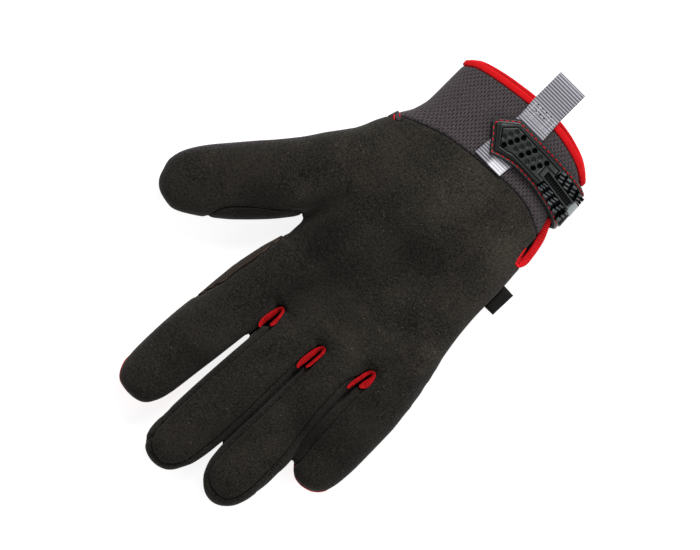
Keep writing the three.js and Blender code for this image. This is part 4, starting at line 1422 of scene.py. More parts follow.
@dataclass
class Spots:
    """Places for repeats.

    Attributes:
        points: where they are, in millimetres.
        along: the direction of their length.
        up: the direction that they face.
        stretch: factors for each place's length, width and height, if they vary.
    """

    points: Array
    along: Array
    up: Array
    stretch: Array | None = None

    @staticmethod
    def on_line(line: Array, up: Array, pitch: float) -> "Spots":
        """Spaces places evenly along a line.

        Args:
            line: the line's points.
            up: the direction that the surface faces at each.
            pitch: how far apart they are.

        Returns:
            The places.
        """
        length = run_lengths(line)
        at = np.arange(pitch / 2, length[-1], pitch)
        read = lambda data, where: np.stack([np.interp(where, length, c) for c in data.T], 1)
        ahead = read(line, at + 0.1) - read(line, at - 0.1)
        return Spots(read(line, at), ahead, read(up, at))

    @staticmethod
    def level(x: Array, y: Array, height: float, along: tuple) -> "Spots":
        """Lays places flat at one height.

        Args:
            x: their x.
            y: their y.
            height: the height.
            along: the direction of their length.

        Returns:
            The places, which face up.
        """
        count = len(x)
        points = np.stack([x, y, np.full(count, height)], 1)
        return Spots(points, np.tile(along, (count, 1)), np.tile([0.0, 0.0, 1.0], (count, 1)))

    def __add__(self, other: "Spots") -> "Spots":
        """Joins two sets of places."""
        pairs = zip((self.points, self.along, self.up), (other.points, other.along, other.up))
        return Spots(*[np.vstack(pair) for pair in pairs])

    def repeat(self, name: str, shape: Repeat, size: tuple[float, float, float],
               finish: Finish) -> Object:
        """Sets a shape on every place and turns the result into a plain mesh.

        Args:
            name: the object's name.
            shape: what is repeated.
            size: its length, width and height in millimetres.
            finish: its material.

        Returns:
            The mesh object.
        """
        mesh = bpy.data.meshes.new(name)
        mesh.from_pydata((self.points * MM).tolist(), [], [])
        stretch = np.ones_like(self.points) if self.stretch is None else self.stretch
        for key, data in (("along", self.along), ("up", self.up), ("stretch", stretch)):
            layer = mesh.attributes.new(key, "FLOAT_VECTOR", "POINT")
            layer.data.foreach_set("vector", np.asarray(data, np.float32).ravel())
        made = bpy.data.objects.new(name, mesh)
        bpy.context.scene.collection.objects.link(made)
        modifier = made.modifiers.new("Repeat", "NODES")
        tree = shape.tree()
        modifier.node_group = tree
        values = {"Length": size[0] * MM, "Width": size[1] * MM, "Height": size[2] * MM,
                  "Finish": finish.material()}
        for item in tree.interface.items_tree:
            if item.in_out == "INPUT" and item.name in values:
                modifier[item.identifier] = values[item.name]
        bpy.context.view_layer.update()
        ready = made.evaluated_get(bpy.context.evaluated_depsgraph_get())
        plain = bpy.data.meshes.new_from_object(ready)
        made.modifiers.clear()
        made.data = plain
        return made


def settle(made: Object, slot: str, *nodes: str) -> Object:
    """Ties a finished piece to the frame.

    Args:
        made: the piece.
        slot: the record's material slot, which is not used.
        nodes: the CAD nodes that it stands for.

    Returns:
        The piece.
    """
    if nodes:
        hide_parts(*nodes)
    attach(made, "root")
    LOG.info("%s: %d faces", made.name, len(made.data.polygons))
    return made


# The glove's pieces


@dataclass
class Panels:
    """The cut and sewn panels of the hand and cuff.

    Attributes:
        skin: the glove's whole outer surface.
        roll: how wide a panel's rounded edge is.
        drop: how far that edge turns in.
        tight: how much narrower the rounded edge is at a taped opening.
    """

    skin: Surface
    roll: float = 1.9
    drop: float = 1.25
    tight: float = 3.0

    def rooms(self, x: Array, y: Array, z: Array) -> Array:
        """Measures how far points are outside the taped openings.

        Args:
            x: plan x.
            y: plan y.
            z: height.

        Returns:
            The distance, below 0 in an opening.
        """
        clear = np.full(x.shape, np.inf)
        for outline in (*LOOP_ROOMS, NOTCH_ROOM):
            clear = np.minimum(clear, np.maximum(-inside_distance(outline, x, y), WIDEST_HEIGHT - z))
        return (clear + ROOM_OVERLAP) * self.tight

    def piece(self, name: str, slot: str, finish: Finish, inside: Callable, lift: Callable | float = 0.0,
              uv: Callable | None = None, drop: float | None = None,
              edge: Callable | None = None) -> Object:
        """Cuts one panel out of the skin, rolls its edges in and gives it a wall.

        Args:
            name: the CAD node that it stands for.
            slot: the record's material slot.
            finish: its material.
            inside: how far inside the panel points are, from their coordinates.
            lift: how far it stands out of the skin, or a function of the surface.
            uv: the cloth's own coordinates, from the points.
            drop: how far its edges turn in, if not as usual.
            edge: how far inside the edges that turn in points are, where some edges stay flat.

        Returns:
            The panel.
        """
        value = inside(*self.skin.points.T)
        near = value[self.skin.triangles].max(1) > -0.5
        part, value = self.skin.keep(near, value)
        part, value = part.split(value, PANEL_GAP)
        part, value = part.keep(value[part.triangles].min(1) > PANEL_GAP - 0.07, value)
        value = edge(*part.points.T) if edge else value
        for share in (0.15, 0.45, 1.0):
            part, value = part.split(value, PANEL_GAP + self.roll * share)
        t = np.clip((value - PANEL_GAP) / self.roll, 0, 1)
        turn_in = (self.drop if drop is None else drop) * (1 - np.sqrt(1 - (1 - t) ** 2))
        raised = lift(part) if callable(lift) else lift
        part.points = part.points + part.normals * (raised - turn_in)[:, None]
        part.points[:, 2] = np.maximum(part.points[:, 2], 0.0)
        points, triangles = thickened(part, WALL - 0.3)
        corners = uv(points, triangles) if uv else None
        made = mesh_object(name + "_cloth", points, triangles, finish.material(), corners)
        return settle(made, slot, name)

    def build(self) -> None:
        """Makes every panel."""
        hand = lambda x, y: above_line(SUEDE_EDGE, x, y)
        upper = lambda x, y, z: z - seam_height(x, y)
        front = lambda x, y: inside_distance(FINGER_SEAM, x, y)
        thumb = lambda x, y: inside_distance(THUMB_PATCH, x, y)
        index = lambda x, y: inside_distance(INDEX_PATCH, x, y)
        least = lambda *values: np.minimum.reduce(values)

        def palm(x: Array, y: Array, z: Array) -> Array:
            """Measures how far inside the palm panel points are."""
            return least(hand(x, y), upper(x, y, z), front(x, y), -thumb(x, y), -index(x, y),
                         self.rooms(x, y, z))

        def sewn(x: Array, y: Array, z: Array) -> Array:
            """Measures how far inside the strips between the fingers points are."""
            return least(hand(x, y), upper(x, y, z), -front(x, y), self.rooms(x, y, z))

        def strip(node: str, left: float, right: float) -> None:
            """Makes the strip that lies between two x places."""
            close = PANEL_GAP - 0.02
            self.piece(node, "suede", Finish.SUEDE, lambda x, y, z: least(
                sewn(x, y, z), x - left + close, right - x + close), edge=sewn)

        def tip(outline: tuple, own: Tube, other: Tube) -> Callable:
            """Gives the test for a red fingertip: inside its outline and on its own finger."""
            return lambda x, y, z: least(inside_distance(outline, x, y, False),
                                         other.field(x, y, z) - own.field(x, y, z))

        index_tip, pinky_tip = tip(INDEX_TIP, INDEX, MIDDLE), tip(PINKY_TIP, PINKY, RING)

        def back(x: Array, y: Array, z: Array) -> Array:
            """Measures how far inside the back panel points are."""
            return least(hand(x, y), -upper(x, y, z), -index_tip(x, y, z), -pinky_tip(x, y, z))

        def gusset_uv(points: Array, triangles: Array) -> Array:
            """Lays the elastic flat, with x across its ribs."""
            x, y, z = points.T
            across = line_distance(rounded_line(INDEX_PATCH[:7], 5), x, y) + (24 - z) * 0.7
            return np.stack([across, y], 1)[triangles.ravel()]

        def sideways(x: float, y: float, start: float, end: float, most: float) -> Callable:
            """Gives a lift that grows to one side, and from one y to another."""
            return lambda part: most * np.clip(part.normals[:, 0] * x + part.normals[:, 1] * y, 0, 1) * ease(
                part.points[:, 1], start, end) - 0.35

        def plan_uv(points: Array, triangles: Array) -> Array:
            """Lays a panel flat as seen from above."""
            return points[triangles.ravel()][:, :2]

        far = 400.0
        self.piece("palm_panel", "suede", Finish.SUEDE, palm)
        self.piece("back_panel", "back_knit", Finish.BACK_KNIT, back)
        strip("fourchette_ring_pinky", -far, RING_MIDLINE)
        strip("fourchette_middle_ring", RING_MIDLINE, MIDDLE_MIDLINE)
        strip("fourchette_index_middle", MIDDLE_MIDLINE, far)
        self.piece("thumb_gusset", "suede", Finish.SUEDE, lambda x, y, z: least(
            hand(x, y), upper(x, y, z), thumb(x, y)))
        self.piece("index_side_gusset", "elastic", Finish.ELASTIC, lambda x, y, z: least(
            hand(x, y), upper(x, y, z), index(x, y)), uv=gusset_uv, drop=0.35)
        self.piece("index_tip_back", "red_knit", Finish.RED_KNIT, lambda x, y, z: least(
            -upper(x, y, z), index_tip(x, y, z)), sideways(0.9, 0.35, 111, 120, 1.1), plan_uv, 0.5)
        self.piece("pinky_tip_back", "red_knit", Finish.RED_KNIT, lambda x, y, z: least(
            -upper(x, y, z), pinky_tip(x, y, z)), sideways(-0.5, 0.85, 92, 97, 0.85), plan_uv, 0.5)
        self.piece("cuff", "cuff_mesh", Finish.CUFF_MESH, lambda x, y, z: least(
            -hand(x, y), rim_distance(x, y, z) - 2.6, self.rooms(x, y, z)), uv=cuff_uv, drop=1.3)


def rim_distance(x: Array, y: Array, z: Array) -> Array:
    """Measures how far points are inside the cuff's mouth, below 0 outside it."""
    fine = rounded_line(MOUTH_EDGE, 5)
    return y - np.interp(x, fine[:, 0], fine[:, 1]) - RIM_LEAN * (z - 16)


def cuff_ring(y: float) -> tuple[Array, Array]:
    """Measures round the cuff at one place.

    Args:
        y: the place.

    Returns:
        Turns in degrees, and the distance round to each from the top of the cuff.
    """
    turns = np.linspace(-90, 270, 721)
    middle, wide, centre, tall = BODY.section(np.array([y]))
    angle = np.radians(turns)
    c, s = [signed_power(v, 2 / ROUNDNESS) for v in (np.cos(angle), np.sin(angle))]
    length = run_lengths(np.stack([middle + wide * c, centre + tall * s], 1))
    return turns, length - np.interp(90, turns, length)


def cuff_uv(points: Array, triangles: Array) -> Array:
    """Lays the cuff's knit flat round the wrist.

    Args:
        points: the cuff's points.
        triangles: its triangles.

    Returns:
        Cloth coordinates in millimetres for each corner.
    """
    x, y, z = points.T
    middle, wide, centre, tall = BODY.section(y)
    rise, run = [signed_power(v, ROUNDNESS / 2) for v in ((z - centre) / tall, (x - middle) / wide)]
    angle = np.degrees(np.arctan2(rise, run))
    angle = np.where(angle < -90, angle + 360, angle)
    turns, length = cuff_ring(-78.0)
    u = np.interp(angle, turns, length)
    whole = length[-1] - length[0]
    corner = u[triangles]
    low = corner < (length[0] + whole * 0.25)
    across = corner.max(1) - corner.min(1) > whole / 2
    corner = np.where(across[:, None] & low, corner + whole, corner)
    return np.stack([corner, y[triangles]], -1).reshape(-1, 2)


def cuff_point(turn: Array, y: Array, lift: Array) -> tuple[Array, Array]:
    """Finds a point that stands off the cuff.

    Args:
        turn: degrees from the thumb's side.
        y: the place along the cuff.
        lift: how far it stands off.

    Returns:
        The points, and the outward directions there.
    """
    turn, y, lift = np.broadcast_arrays(np.asarray(turn, float), y, lift)
    middle, wide, centre, tall = BODY.section(y)
    c, s = np.cos(np.radians(turn)), np.sin(np.radians(turn))
    x = middle + wide * signed_power(c, 2 / ROUNDNESS)
    z = centre + tall * signed_power(s, 2 / ROUNDNESS)
    n = 2 - 2 / ROUNDNESS
    out = np.stack([signed_power(c, n) / wide, np.zeros_like(x), signed_power(s, n) / tall], -1)
    out /= np.linalg.norm(out, axis=-1, keepdims=True)
    return np.stack([x, y, z], -1) + out * lift[..., None], out


def slab_faces(rows: int, columns: int) -> Array:
    """Joins two grids of points, one over the other, into a closed slab.

    Args:
        rows: how many rows each grid has.
        columns: how many points each row has.

    Returns:
        Its faces, where the upper grid's points come first.
    """
    low = rows * columns
    number = np.arange(low).reshape(rows, columns)
    corners = [number[:-1, :-1], number[:-1, 1:], number[1:, 1:], number[1:, :-1]]
    top = np.stack(corners, -1).reshape(-1, 4)
    ring = np.concatenate([number[0, :], number[1:, -1], number[-1, -2::-1], number[-2:0:-1, 0]])
    after = np.roll(ring, -1)
    return np.vstack([top, top[:, ::-1] + low, np.stack([after, ring, ring + low, after + low], 1)])


@dataclass
class CuffBinding:
    """The red tape folded over the cuff's mouth.

    Attributes:
        steps: how many sections it has round the cuff.
        width: how wide it is along the hand.
        corner: the radius of its folded edge.
        over: how much thicker than the cuff's wall it is.
    """

    steps: int = 900
    width: float = 3.3
    corner: float = 0.95
    over: float = 1.2

    def build(self) -> None:
        """Makes the tape."""
        turns = np.linspace(0, 360, self.steps, endpoint=False)
        fine = rounded_line(MOUTH_EDGE, 5)
        y = np.full(self.steps, -95.0)
        for _ in range(30):
            at, _ = cuff_point(turns, y, 0.0)
            target = np.interp(at[:, 0], fine[:, 0], fine[:, 1]) + RIM_LEAN * (at[:, 2] - 16)
            y = y + 0.5 * (target - y)
        arc = np.radians(turns)
        pucker = 1 + 0.05 * np.sin(arc * 31) + 0.035 * np.sin(arc * 53 + 1.0)
        rib = 0.09 * np.abs(np.sin(arc * 95))
        shape = rounded_box(self.width, WALL + self.over, self.corner, 4)
        middle = y + self.width / 2
        at, out = cuff_point(turns, middle, -WALL / 2 + 0.15)
        side = np.broadcast_to([0.0, 1.0, 0.0], at.shape)
        profiles = np.stack([shape * [1, p + r] for p, r in zip(pucker, rib)])
        points, faces = swept(at, side, out, profiles, True)
        made = mesh_object("cuff_binding_tape", points, faces, Finish.RED_TAPE.material(),
                           tape_uv(at, shape, faces, True))
        settle(made, "red_tape", "cuff_binding")


def tape_uv(path: Array, profile: Array, faces: list, closed: bool) -> Array:
    """Lays a swept tape flat.

    Args:
        path: the path's points.
        profile: the profile's points.
        faces: the swept faces.
        closed: whether the path is a ring.

    Returns:
        Cloth coordinates in millimetres for each corner.
    """
    m, n = len(profile), len(path)
    along, round_it = run_lengths(path), run_lengths(profile)
    step = along[-1] / max(n - 1, 1)
    rows = []
    for face in faces:
        rings = [k // m for k in face]
        wrap = closed and max(rings) - min(rings) > n / 2
        for k, ring in zip(face, rings):
            rows.append((along[-1] + step if wrap and ring == 0 else along[ring], round_it[k % m]))
    return np.array(rows)


@dataclass
class TapeLoop:
    """A tape that binds an opening, drawn in plan and laid on the glove.

    Attributes:
        node: the CAD node that it stands for.
        rows: x, y and width along it.
        depth: how far down it reaches.
        level: how far its top stands over the cloth.
        spread: how far to both sides the cloth's height is read.
        finish: its material.
        tilt: how steeply its top falls towards the opening.
    """

    node: str
    rows: tuple
    depth: float
    level: float
    spread: float
    finish: Finish
    tilt: float = 0.45

    def build(self) -> None:
        """Makes the tape."""
        line = even_line(rounded_line(self.rows, 8), 0.22)
        x, y, width = line.T
        heights = np.maximum(top_height(x - self.spread, y), top_height(x + self.spread, y))
        heights = np.convolve(np.pad(heights, 12, mode="edge"), np.ones(25) / 25, "valid")
        ahead = np.gradient(np.stack([x, y, heights * 0], 1), axis=0)
        ahead /= np.maximum(np.linalg.norm(ahead, axis=1, keepdims=True), 1e-9)
        dx, dy = x - x.mean(), y - y.mean()
        inner = np.sign(np.sum(dx[:-1] * dy[1:] - dx[1:] * dy[:-1]))
        side = np.stack([-ahead[:, 1], ahead[:, 0], ahead[:, 2]], 1) * inner
        up = np.broadcast_to([0.0, 0.0, 1.0], side.shape)
        path = np.stack([x, y, heights + self.level - self.depth / 2], 1)
        shape = rounded_box(1.0, self.depth, 0.42, 4)
        ribs = 0.14 * np.abs(np.sin(np.arange(len(x)) * 0.22 / 0.95 * math.pi))
        profiles = np.stack([shape * [w + r, 1] for w, r in zip(width, ribs)])
        profiles[..., 1] += np.where(profiles[..., 1] > 0, ribs[:, None] * 1.4, 0)
        profiles[..., 1] -= self.tilt * np.maximum(profiles[..., 0] + width[:, None] / 2, 0)
        points, faces = swept(path, side, up, profiles, False)
        made = mesh_object(self.node + "_tape", points, faces, self.finish.material(),
                           tape_uv(path, shape, faces, False))
        settle(made, "red_tape", self.node)


@dataclass
class Strap:
    """The wrist strap: a sewn backing, a moulded cover, its tread blocks and its red stitching.

    Attributes:
        block: the tread blocks' length, width and height, where the width is stretched to each place.
        stitch: the red stitches' length, width and height.
        stitch_pitch: how far apart they are.
        stitch_inset: how far inside the strap's edge they run.
        cover_inset: how far the cover stays inside the strap's edge.
    """

    block: tuple = (3.2, 1.0, 2.2)
    stitch: tuple = (2.0, 0.44, 0.4)
    stitch_pitch: float = 2.75
    stitch_inset: float = 1.5
    cover_inset: float = 0.5

    def __post_init__(self) -> None:
        """Reads the strap's table."""
        self.table = np.asarray(STRAP_ROWS, float)
        turns, length = cuff_ring(-79.0)
        self.turns, self.length = turns, BODY.section(np.array([-79.0]))[0] - length
        self.slot_end, self.band_end = [np.interp(t, turns, self.length) for t in (SLOT_TURN, BAND_TURN)]

    def turn_at(self, s: Array) -> Array:
        """Finds the turns in degrees at millimetres round the wrap, which is x on top of the cuff."""
        return np.interp(s, self.length[::-1], self.turns[::-1])

    def row(self, turn: Array) -> tuple[Array, Array, Array]:
        """Reads the strap's top edge, bottom edge and lift at turns in degrees."""
        top, bottom, lift = [np.interp(turn, self.table[:, 0], self.table[:, k]) for k in (1, 2, 3)]
        return top + STRAP_SHIFT, bottom + STRAP_SHIFT, lift

    def sheet(self, name: str, slot: str, node: str, finish: Finish, turns: Array, inset: float,
              base: float, relief: Callable, columns: int) -> Object:
        """Makes one layer of the strap, bent round the cuff.

        Args:
            name: the object's name.
            slot: the record's material slot.
            node: the CAD node that it stands for.
            finish: its material.
            turns: the turns of its rows.
            inset: how far it stays inside the strap's edges.
            base: how far its underside stands over the strap's.
            relief: its thickness and greys, from wrap distance, y and distance from the edge.
            columns: how many steps it has across.

        Returns:
            The layer.
        """
        top, bottom, lift = self.row(turns)
        edge = np.minimum(inset, (top - bottom) / 3)
        top, bottom = top - edge, bottom + edge
        t = (1 - np.cos(np.linspace(0, math.pi, columns))) / 2 * 0.35 + np.linspace(0, 1, columns) * 0.65
        y = bottom[:, None] + (top - bottom)[:, None] * t
        turn = np.broadcast_to(turns[:, None], y.shape)
        s = np.interp(turn, self.turns, self.length)
        outline = np.vstack([np.stack([s[:, 0], y[:, 0]], 1), np.stack([s[::-1, -1], y[::-1, -1]], 1)])
        rim = line_distance(np.vstack([outline, outline[:1]]), s, y)
        thick, grey_and_painted_light = relief(s, y, rim)
        above, _ = cuff_point(turn, y, lift[:, None] + base + thick)
        below, _ = cuff_point(turn, y, lift[:, None] + base + 0 * thick)
        faces = slab_faces(*y.shape)
        points = np.vstack([above.reshape(-1, 3), below.reshape(-1, 3)])
        greys = np.tile(grey_and_painted_light.ravel(), 2) if grey_and_painted_light is not None else None
        made = mesh_object(name, points, outward_faces(points, faces.tolist()), finish.material(), grey_and_painted_light=greys)
        return settle(made, slot, node)

    def slot_middle(self, s: Array) -> Array:
        """Finds y at the middle of the ribbed slot, which drifts to the palm as it goes round."""
        return -78.7 + 0.13 * np.clip(-14 - s, 0, 40)

    def cover(self, s: Array, y: Array, rim: Array) -> tuple[Array, Array]:
        """Gives the moulded cover's relief.

        Args:
            s: the distance round the wrap.
            y: the place along the cuff.
            rim: the distance from the cover's edge.

        Returns:
            Its thickness, and how pale it is, with painted shade and painted highlights in it.
        """
        # The greys are the moulding's tone with painted light and shade in them: the lip and the rail edges
        # are painted paler, the bead is a painted highlight, the band a painted reflection, and the pits, the
        # groove, the slot and the ground between the blocks are painted dark as shade.
        thick = PLATE_BORDER * (0.45 + 0.55 * np.sqrt(np.clip(rim / 0.5, 0, 1)))
        lip = np.exp(-((rim - 0.4) / 0.28) ** 2)
        grey_and_painted_light = 0.01 + 0.024 * lip
        thick = thick + 0.2 * lip - 0.22 * np.exp(-((rim - 1.05) / 0.4) ** 2)

        grip = inside_distance(GRIP_OUTLINE, s, y, False)
        framed = ease(s + 18.6 - 0.4 * (y + 79.5), -0.4, 0.4)
        frame = ease(rim, 1.65, 2.2) * framed
        groove = np.exp(-(grip / 0.34) ** 2) * framed
        bead = np.exp(-((grip + 0.55) / 0.22) ** 2) * framed
        smooth = ease(grip, 0.1, 0.5)
        rise = frame * (0.9 + 0.6 * ease(grip, -3.2, -0.3)) - 0.5 * groove - 0.3 * smooth
        # Painted light and shade: the bead is painted pale as a highlight and the groove dark as shade.
        grey_and_painted_light = grey_and_painted_light + frame * (0.006 - 0.011 * ease(grip, -2.6, -0.6)) + 0.022 * bead
        grey_and_painted_light = grey_and_painted_light * (1 - 0.9 * groove) + smooth * 0.013

        hole, shade = np.zeros_like(s), np.zeros_like(s)
        for column, (centres, deep) in enumerate(DIMPLE_COLUMNS):
            for centre in centres:
                at = DIMPLE_START - DIMPLE_PITCH * column + 0.5 * (centre + 79.5)
                dx, dy = np.abs(s - at), np.abs(y - centre)
                hexagon = np.maximum(dx * 0.866 + dy * 0.5, dy) - DIMPLE_HALF
                pit = ease(-hexagon, -0.1, 0.22)
                hole, shade = np.maximum(hole, deep * pit), np.maximum(shade, (0.5 + 0.33 * deep) * pit)
        # Painted shade: the pits are darkened towards black, the deeper ones most.
        rise, grey_and_painted_light = rise - hole, grey_and_painted_light * (1 - 0.95 * np.minimum(shade, 1))

        side = y - self.slot_middle(s)
        lobe = ease(np.where(side > 0, *LOBE_STARTS) - s, -0.2, 0.8) * ease(rim, 1.65, 2.6)
        ground = (1 - framed) * (1 - lobe) * ease(rim, 1.65, 2.0)
        # Painted shade: the ground between the tread blocks is darkened to near-black.
        grey_and_painted_light = grey_and_painted_light * (1 - 0.92 * ground) + 0.012 * lobe
        rise = rise + 1.1 * lobe
        off = np.abs(side)
        reach = np.minimum(SLOT_START + 2.3 - s, s - self.slot_end + 1.0)
        rail = ease(reach, -0.3, 0.4) * ease(RAIL_HALF - off, -0.2, 0.2)
        slot = ease(np.minimum(SLOT_START - s, s - self.slot_end), -0.2, 0.3)
        slot = slot * ease(SLOT_HALF - off, -0.15, 0.2)
        ribs = np.abs(np.sin(s * math.pi / 1.15))
        rise = rise * (1 - rail) + rail * (1.45 - slot * (2.1 - 0.4 * ribs))
        edge = rail * (1 - slot)
        # Painted shade: the ribbed slot is painted near-black, and the rail edges beside it are painted
        # paler.
        grey_and_painted_light = grey_and_painted_light * (1 - rail) + edge * 0.02 + slot * (0.0005 + 0.004 * ribs)
        band = ease(np.minimum(self.slot_end - s, s - self.band_end), -0.3, 0.3) * ease(3.1 - off, -0.3, 0.3)
        # Painted reflection: the smooth band past the slot is painted light grey.
        rise, grey_and_painted_light = rise * (1 - band) + 1.5 * band, grey_and_painted_light * (1 - band) + 0.27 * band
        return np.maximum(thick + rise, 0.18), np.clip(grey_and_painted_light, 0.0015, 1)

    def blocks(self) -> Spots:
        """Sets the tread blocks in a bank on each side of the slot.

        Returns:
            Their places.
        """
        found = []
        for start, side in ((-18.6, 1), (-22.2, -1)):
            for column in range(TREAD_COLUMNS):
                s = start - column * TREAD_PITCH
                top, bottom, _ = self.row(self.turn_at(s))
                inner = self.slot_middle(s) + side * (RAIL_HALF + 0.15)
                outer = (top if side > 0 else bottom) - side * 1.95
                edges = inner + (outer - inner) * np.array(TREAD_SHARES)
                for low, high in zip(edges[:-1], edges[1:]):
                    found.append((s + 0.25 * (low - inner) * side, (low + high) / 2, abs(high - low) - 0.4))
        s, y, wide = np.array(found).T
        turn = self.turn_at(s)
        level = self.row(turn)[2] + PLATE_BASE + PLATE_BORDER + 0.35
        at, out = cuff_point(turn, y, level)
        ahead, _ = cuff_point(self.turn_at(s + 0.5), y + 0.12, level)
        stretch = np.stack([np.ones_like(wide), wide, np.ones_like(wide)], 1)
        return Spots(at, ahead - at, out, stretch)

    def stitches(self) -> Spots:
        """Sets the red stitches round the cover.

        Returns:
            Their places.
        """
        turns = np.linspace(78.8, PLATE_END - 4, 400)
        top, bottom, lift = self.row(turns)
        inset = np.minimum(self.stitch_inset, (top - bottom) / 2.2)
        level = lift + PLATE_BASE + PLATE_BORDER + 0.02
        upper, up_out = cuff_point(turns, top - inset, level)
        lower, low_out = cuff_point(turns, bottom + inset, level)
        line = np.vstack([upper[::-1], lower])
        return Spots.on_line(line, np.vstack([up_out[::-1], low_out]), self.stitch_pitch)

    def build(self) -> None:
        """Makes the strap."""
        def backing(s: Array, y: Array, rim: Array) -> tuple[Array, None]:
            """Gives the sewn layer's thickness, which falls off at its edge."""
            return BACKING_THICK * (0.5 + 0.5 * np.sqrt(np.clip(rim / 0.5, 0, 1))), None

        self.sheet("strap_backing_cloth", "strap_backing", "strap_backing", Finish.BACKING,
                   np.linspace(75.7, 250, 260), 0.0, 0.0, backing, 20)
        turns = self.turn_at(np.arange(20, -70, -0.17))
        turns = turns[(turns > 76.4) & (turns < PLATE_END)]
        self.sheet("strap_plate_cover", "strap_rubber", "strap_plate", Finish.RUBBER, turns,
                   self.cover_inset, PLATE_BASE, self.cover, 116)
        tread = self.blocks().repeat("strap_tread", Repeat.BLOCK, self.block, Finish.TREAD)
        settle(tread, "strap_rubber")
        thread = self.stitches().repeat("strap_stitches", Repeat.STITCH, self.stitch, Finish.RED_THREAD)
        settle(thread, "red_tape")


@dataclass
class PullRibbon:
    """The grey webbing ribbon, sewn down under the strap and folded into a pull loop.

    Attributes:
        stitch: the box stitches' length, width and height.
        stitch_pitch: how far apart they are.
        mark: the needle marks' length, width and height.
        rib_height: how high its ribs stand.
    """

    stitch: tuple = (1.1, 0.36, 0.3)
    stitch_pitch: float = 1.3
    mark: tuple = (0.9, 0.8, 0.3)
    rib_height: float = 0.13

    def line(self) -> tuple[Array, Array, Array]:
        """Draws the ribbon's middle line.

        Returns:
            The line's points, its sideways direction and its outward direction.
        """
        side_view = even_line(rounded_line(RIBBON_LINE, 10), 0.16)
        shifts = np.asarray(RIBBON_SHIFTS, float)
        y, z = side_view.T
        x = np.interp(y, shifts[:, 0], shifts[:, 1]) + RIBBON_WIDTH / 2
        path = np.stack([x, y, z], 1)
        ahead = np.gradient(side_view, axis=0)
        ahead /= np.linalg.norm(ahead, axis=1, keepdims=True)
        up = np.stack([0 * x, ahead[:, 1], -ahead[:, 0]], 1)
        side = np.broadcast_to([1.0, 0.0, 0.0], path.shape)
        return path, side, up

    def build(self) -> None:
        """Makes the ribbon and its box stitching."""
        path, side, up = self.line()
        length = run_lengths(path)
        ribs = self.rib_height * np.abs(np.sin(length * math.pi / RIBBON_RIB))
        half = RIBBON_WIDTH / 2
        across = np.linspace(half - 0.25, -half + 0.25, 20)
        shape = np.vstack([
            [[half, -0.2], [half, 0.2]], np.stack([across, np.full(20, RIBBON_THICK / 2)], 1),
            [[-half, 0.2], [-half, -0.2]], np.stack([across[::-1], np.full(20, -RIBBON_THICK / 2)], 1),
        ])
        sign = np.sign(shape[:, 1]) * (np.abs(shape[:, 1]) > 0.3)
        profiles = np.repeat(shape[None], len(path), 0)
        profiles[..., 1] += sign * (ribs[:, None] - 0.09)
        points, faces = swept(path, side, up, profiles, False)
        made = mesh_object("pull_ribbon_webbing", points, faces, Finish.WEBBING.material(),
                           tape_uv(path, shape, faces, False))
        settle(made, "webbing", "pull_ribbon")
        self.stitching()

    def stitching(self) -> None:
        """Sews the box on the ribbon, with dark needle marks across it."""
        rows = []
        for y, first, last in ((-92.2, -2.6, 9.6), (-98.4, -2.2, 10.2)):
            x = np.arange(first, last, self.stitch_pitch)
            rows.append(Spots.level(x, np.full(len(x), y), 30.48, (1.0, 0.0, 0.0)))
        for x in (-2.6, 0.4, 7.2, 10.0):
            y = np.arange(-98.0, -90.6, self.stitch_pitch)
            rows.append(Spots.level(np.full(len(y), x), y, 30.46, (0.0, 1.0, 0.0)))
        box = sum(rows[1:], rows[0])
        box = box.repeat("ribbon_box_stitch", Repeat.STITCH, self.stitch, Finish.GREY_THREAD)
        settle(box, "webbing")
        x = np.array([2.5, 5, 7.5, 0.6, 3.5, 6, 8.8])
        y = np.array([-96, -96, -96, -98.7, -98.7, -98.7, -98.7])
        holes = Spots.level(x, y, 30.42, (1.0, 0.0, 0.0))
        settle(holes.repeat("ribbon_needle_marks", Repeat.STITCH, self.mark, Finish.BLACK_THREAD), "webbing")


@dataclass
class Seams:
    """Rows of stitches that show beside the seams.

    Attributes:
        stitch: the stitches' length, width and height.
        pitch: how far apart they are.
        lines: the rows, as seen from above.
    """

    stitch: tuple = (1.4, 0.34, 0.3)
    pitch: float = 2.2
    lines: tuple = (
        ((-28.6, 56), (-29, 70), (-30, 85), (-31, 94)),
        ((-21.0, 98), (-21.2, 122), (-17.6, 129.6), (-13, 131.8), (-7.6, 130.6), (-4.4, 126.8), (-3, 119)),
        ((6.8, 122), (9.4, 133), (13.8, 138.4), (18, 139.6), (23.2, 137.4), (26, 132), (26.6, 119),
         (25.6, 100)),
        ((58.6, 20.6), (69, 28.8), (77, 38.6)),
    )

    def build(self) -> None:
        """Makes the stitches."""
        rows = []
        for points in self.lines:
            line = even_line(rounded_line(points, 8), 0.5)
            x, y = line.T
            z = top_height(x, y)
            up = outward(x, y, z)
            rows.append(Spots.on_line(np.stack([x, y, z + 0.02], 1), up, self.pitch))
        made = sum(rows[1:], rows[0]).repeat("seam_stitches", Repeat.STITCH, self.stitch, Finish.DARK_THREAD)
        settle(made, "suede")


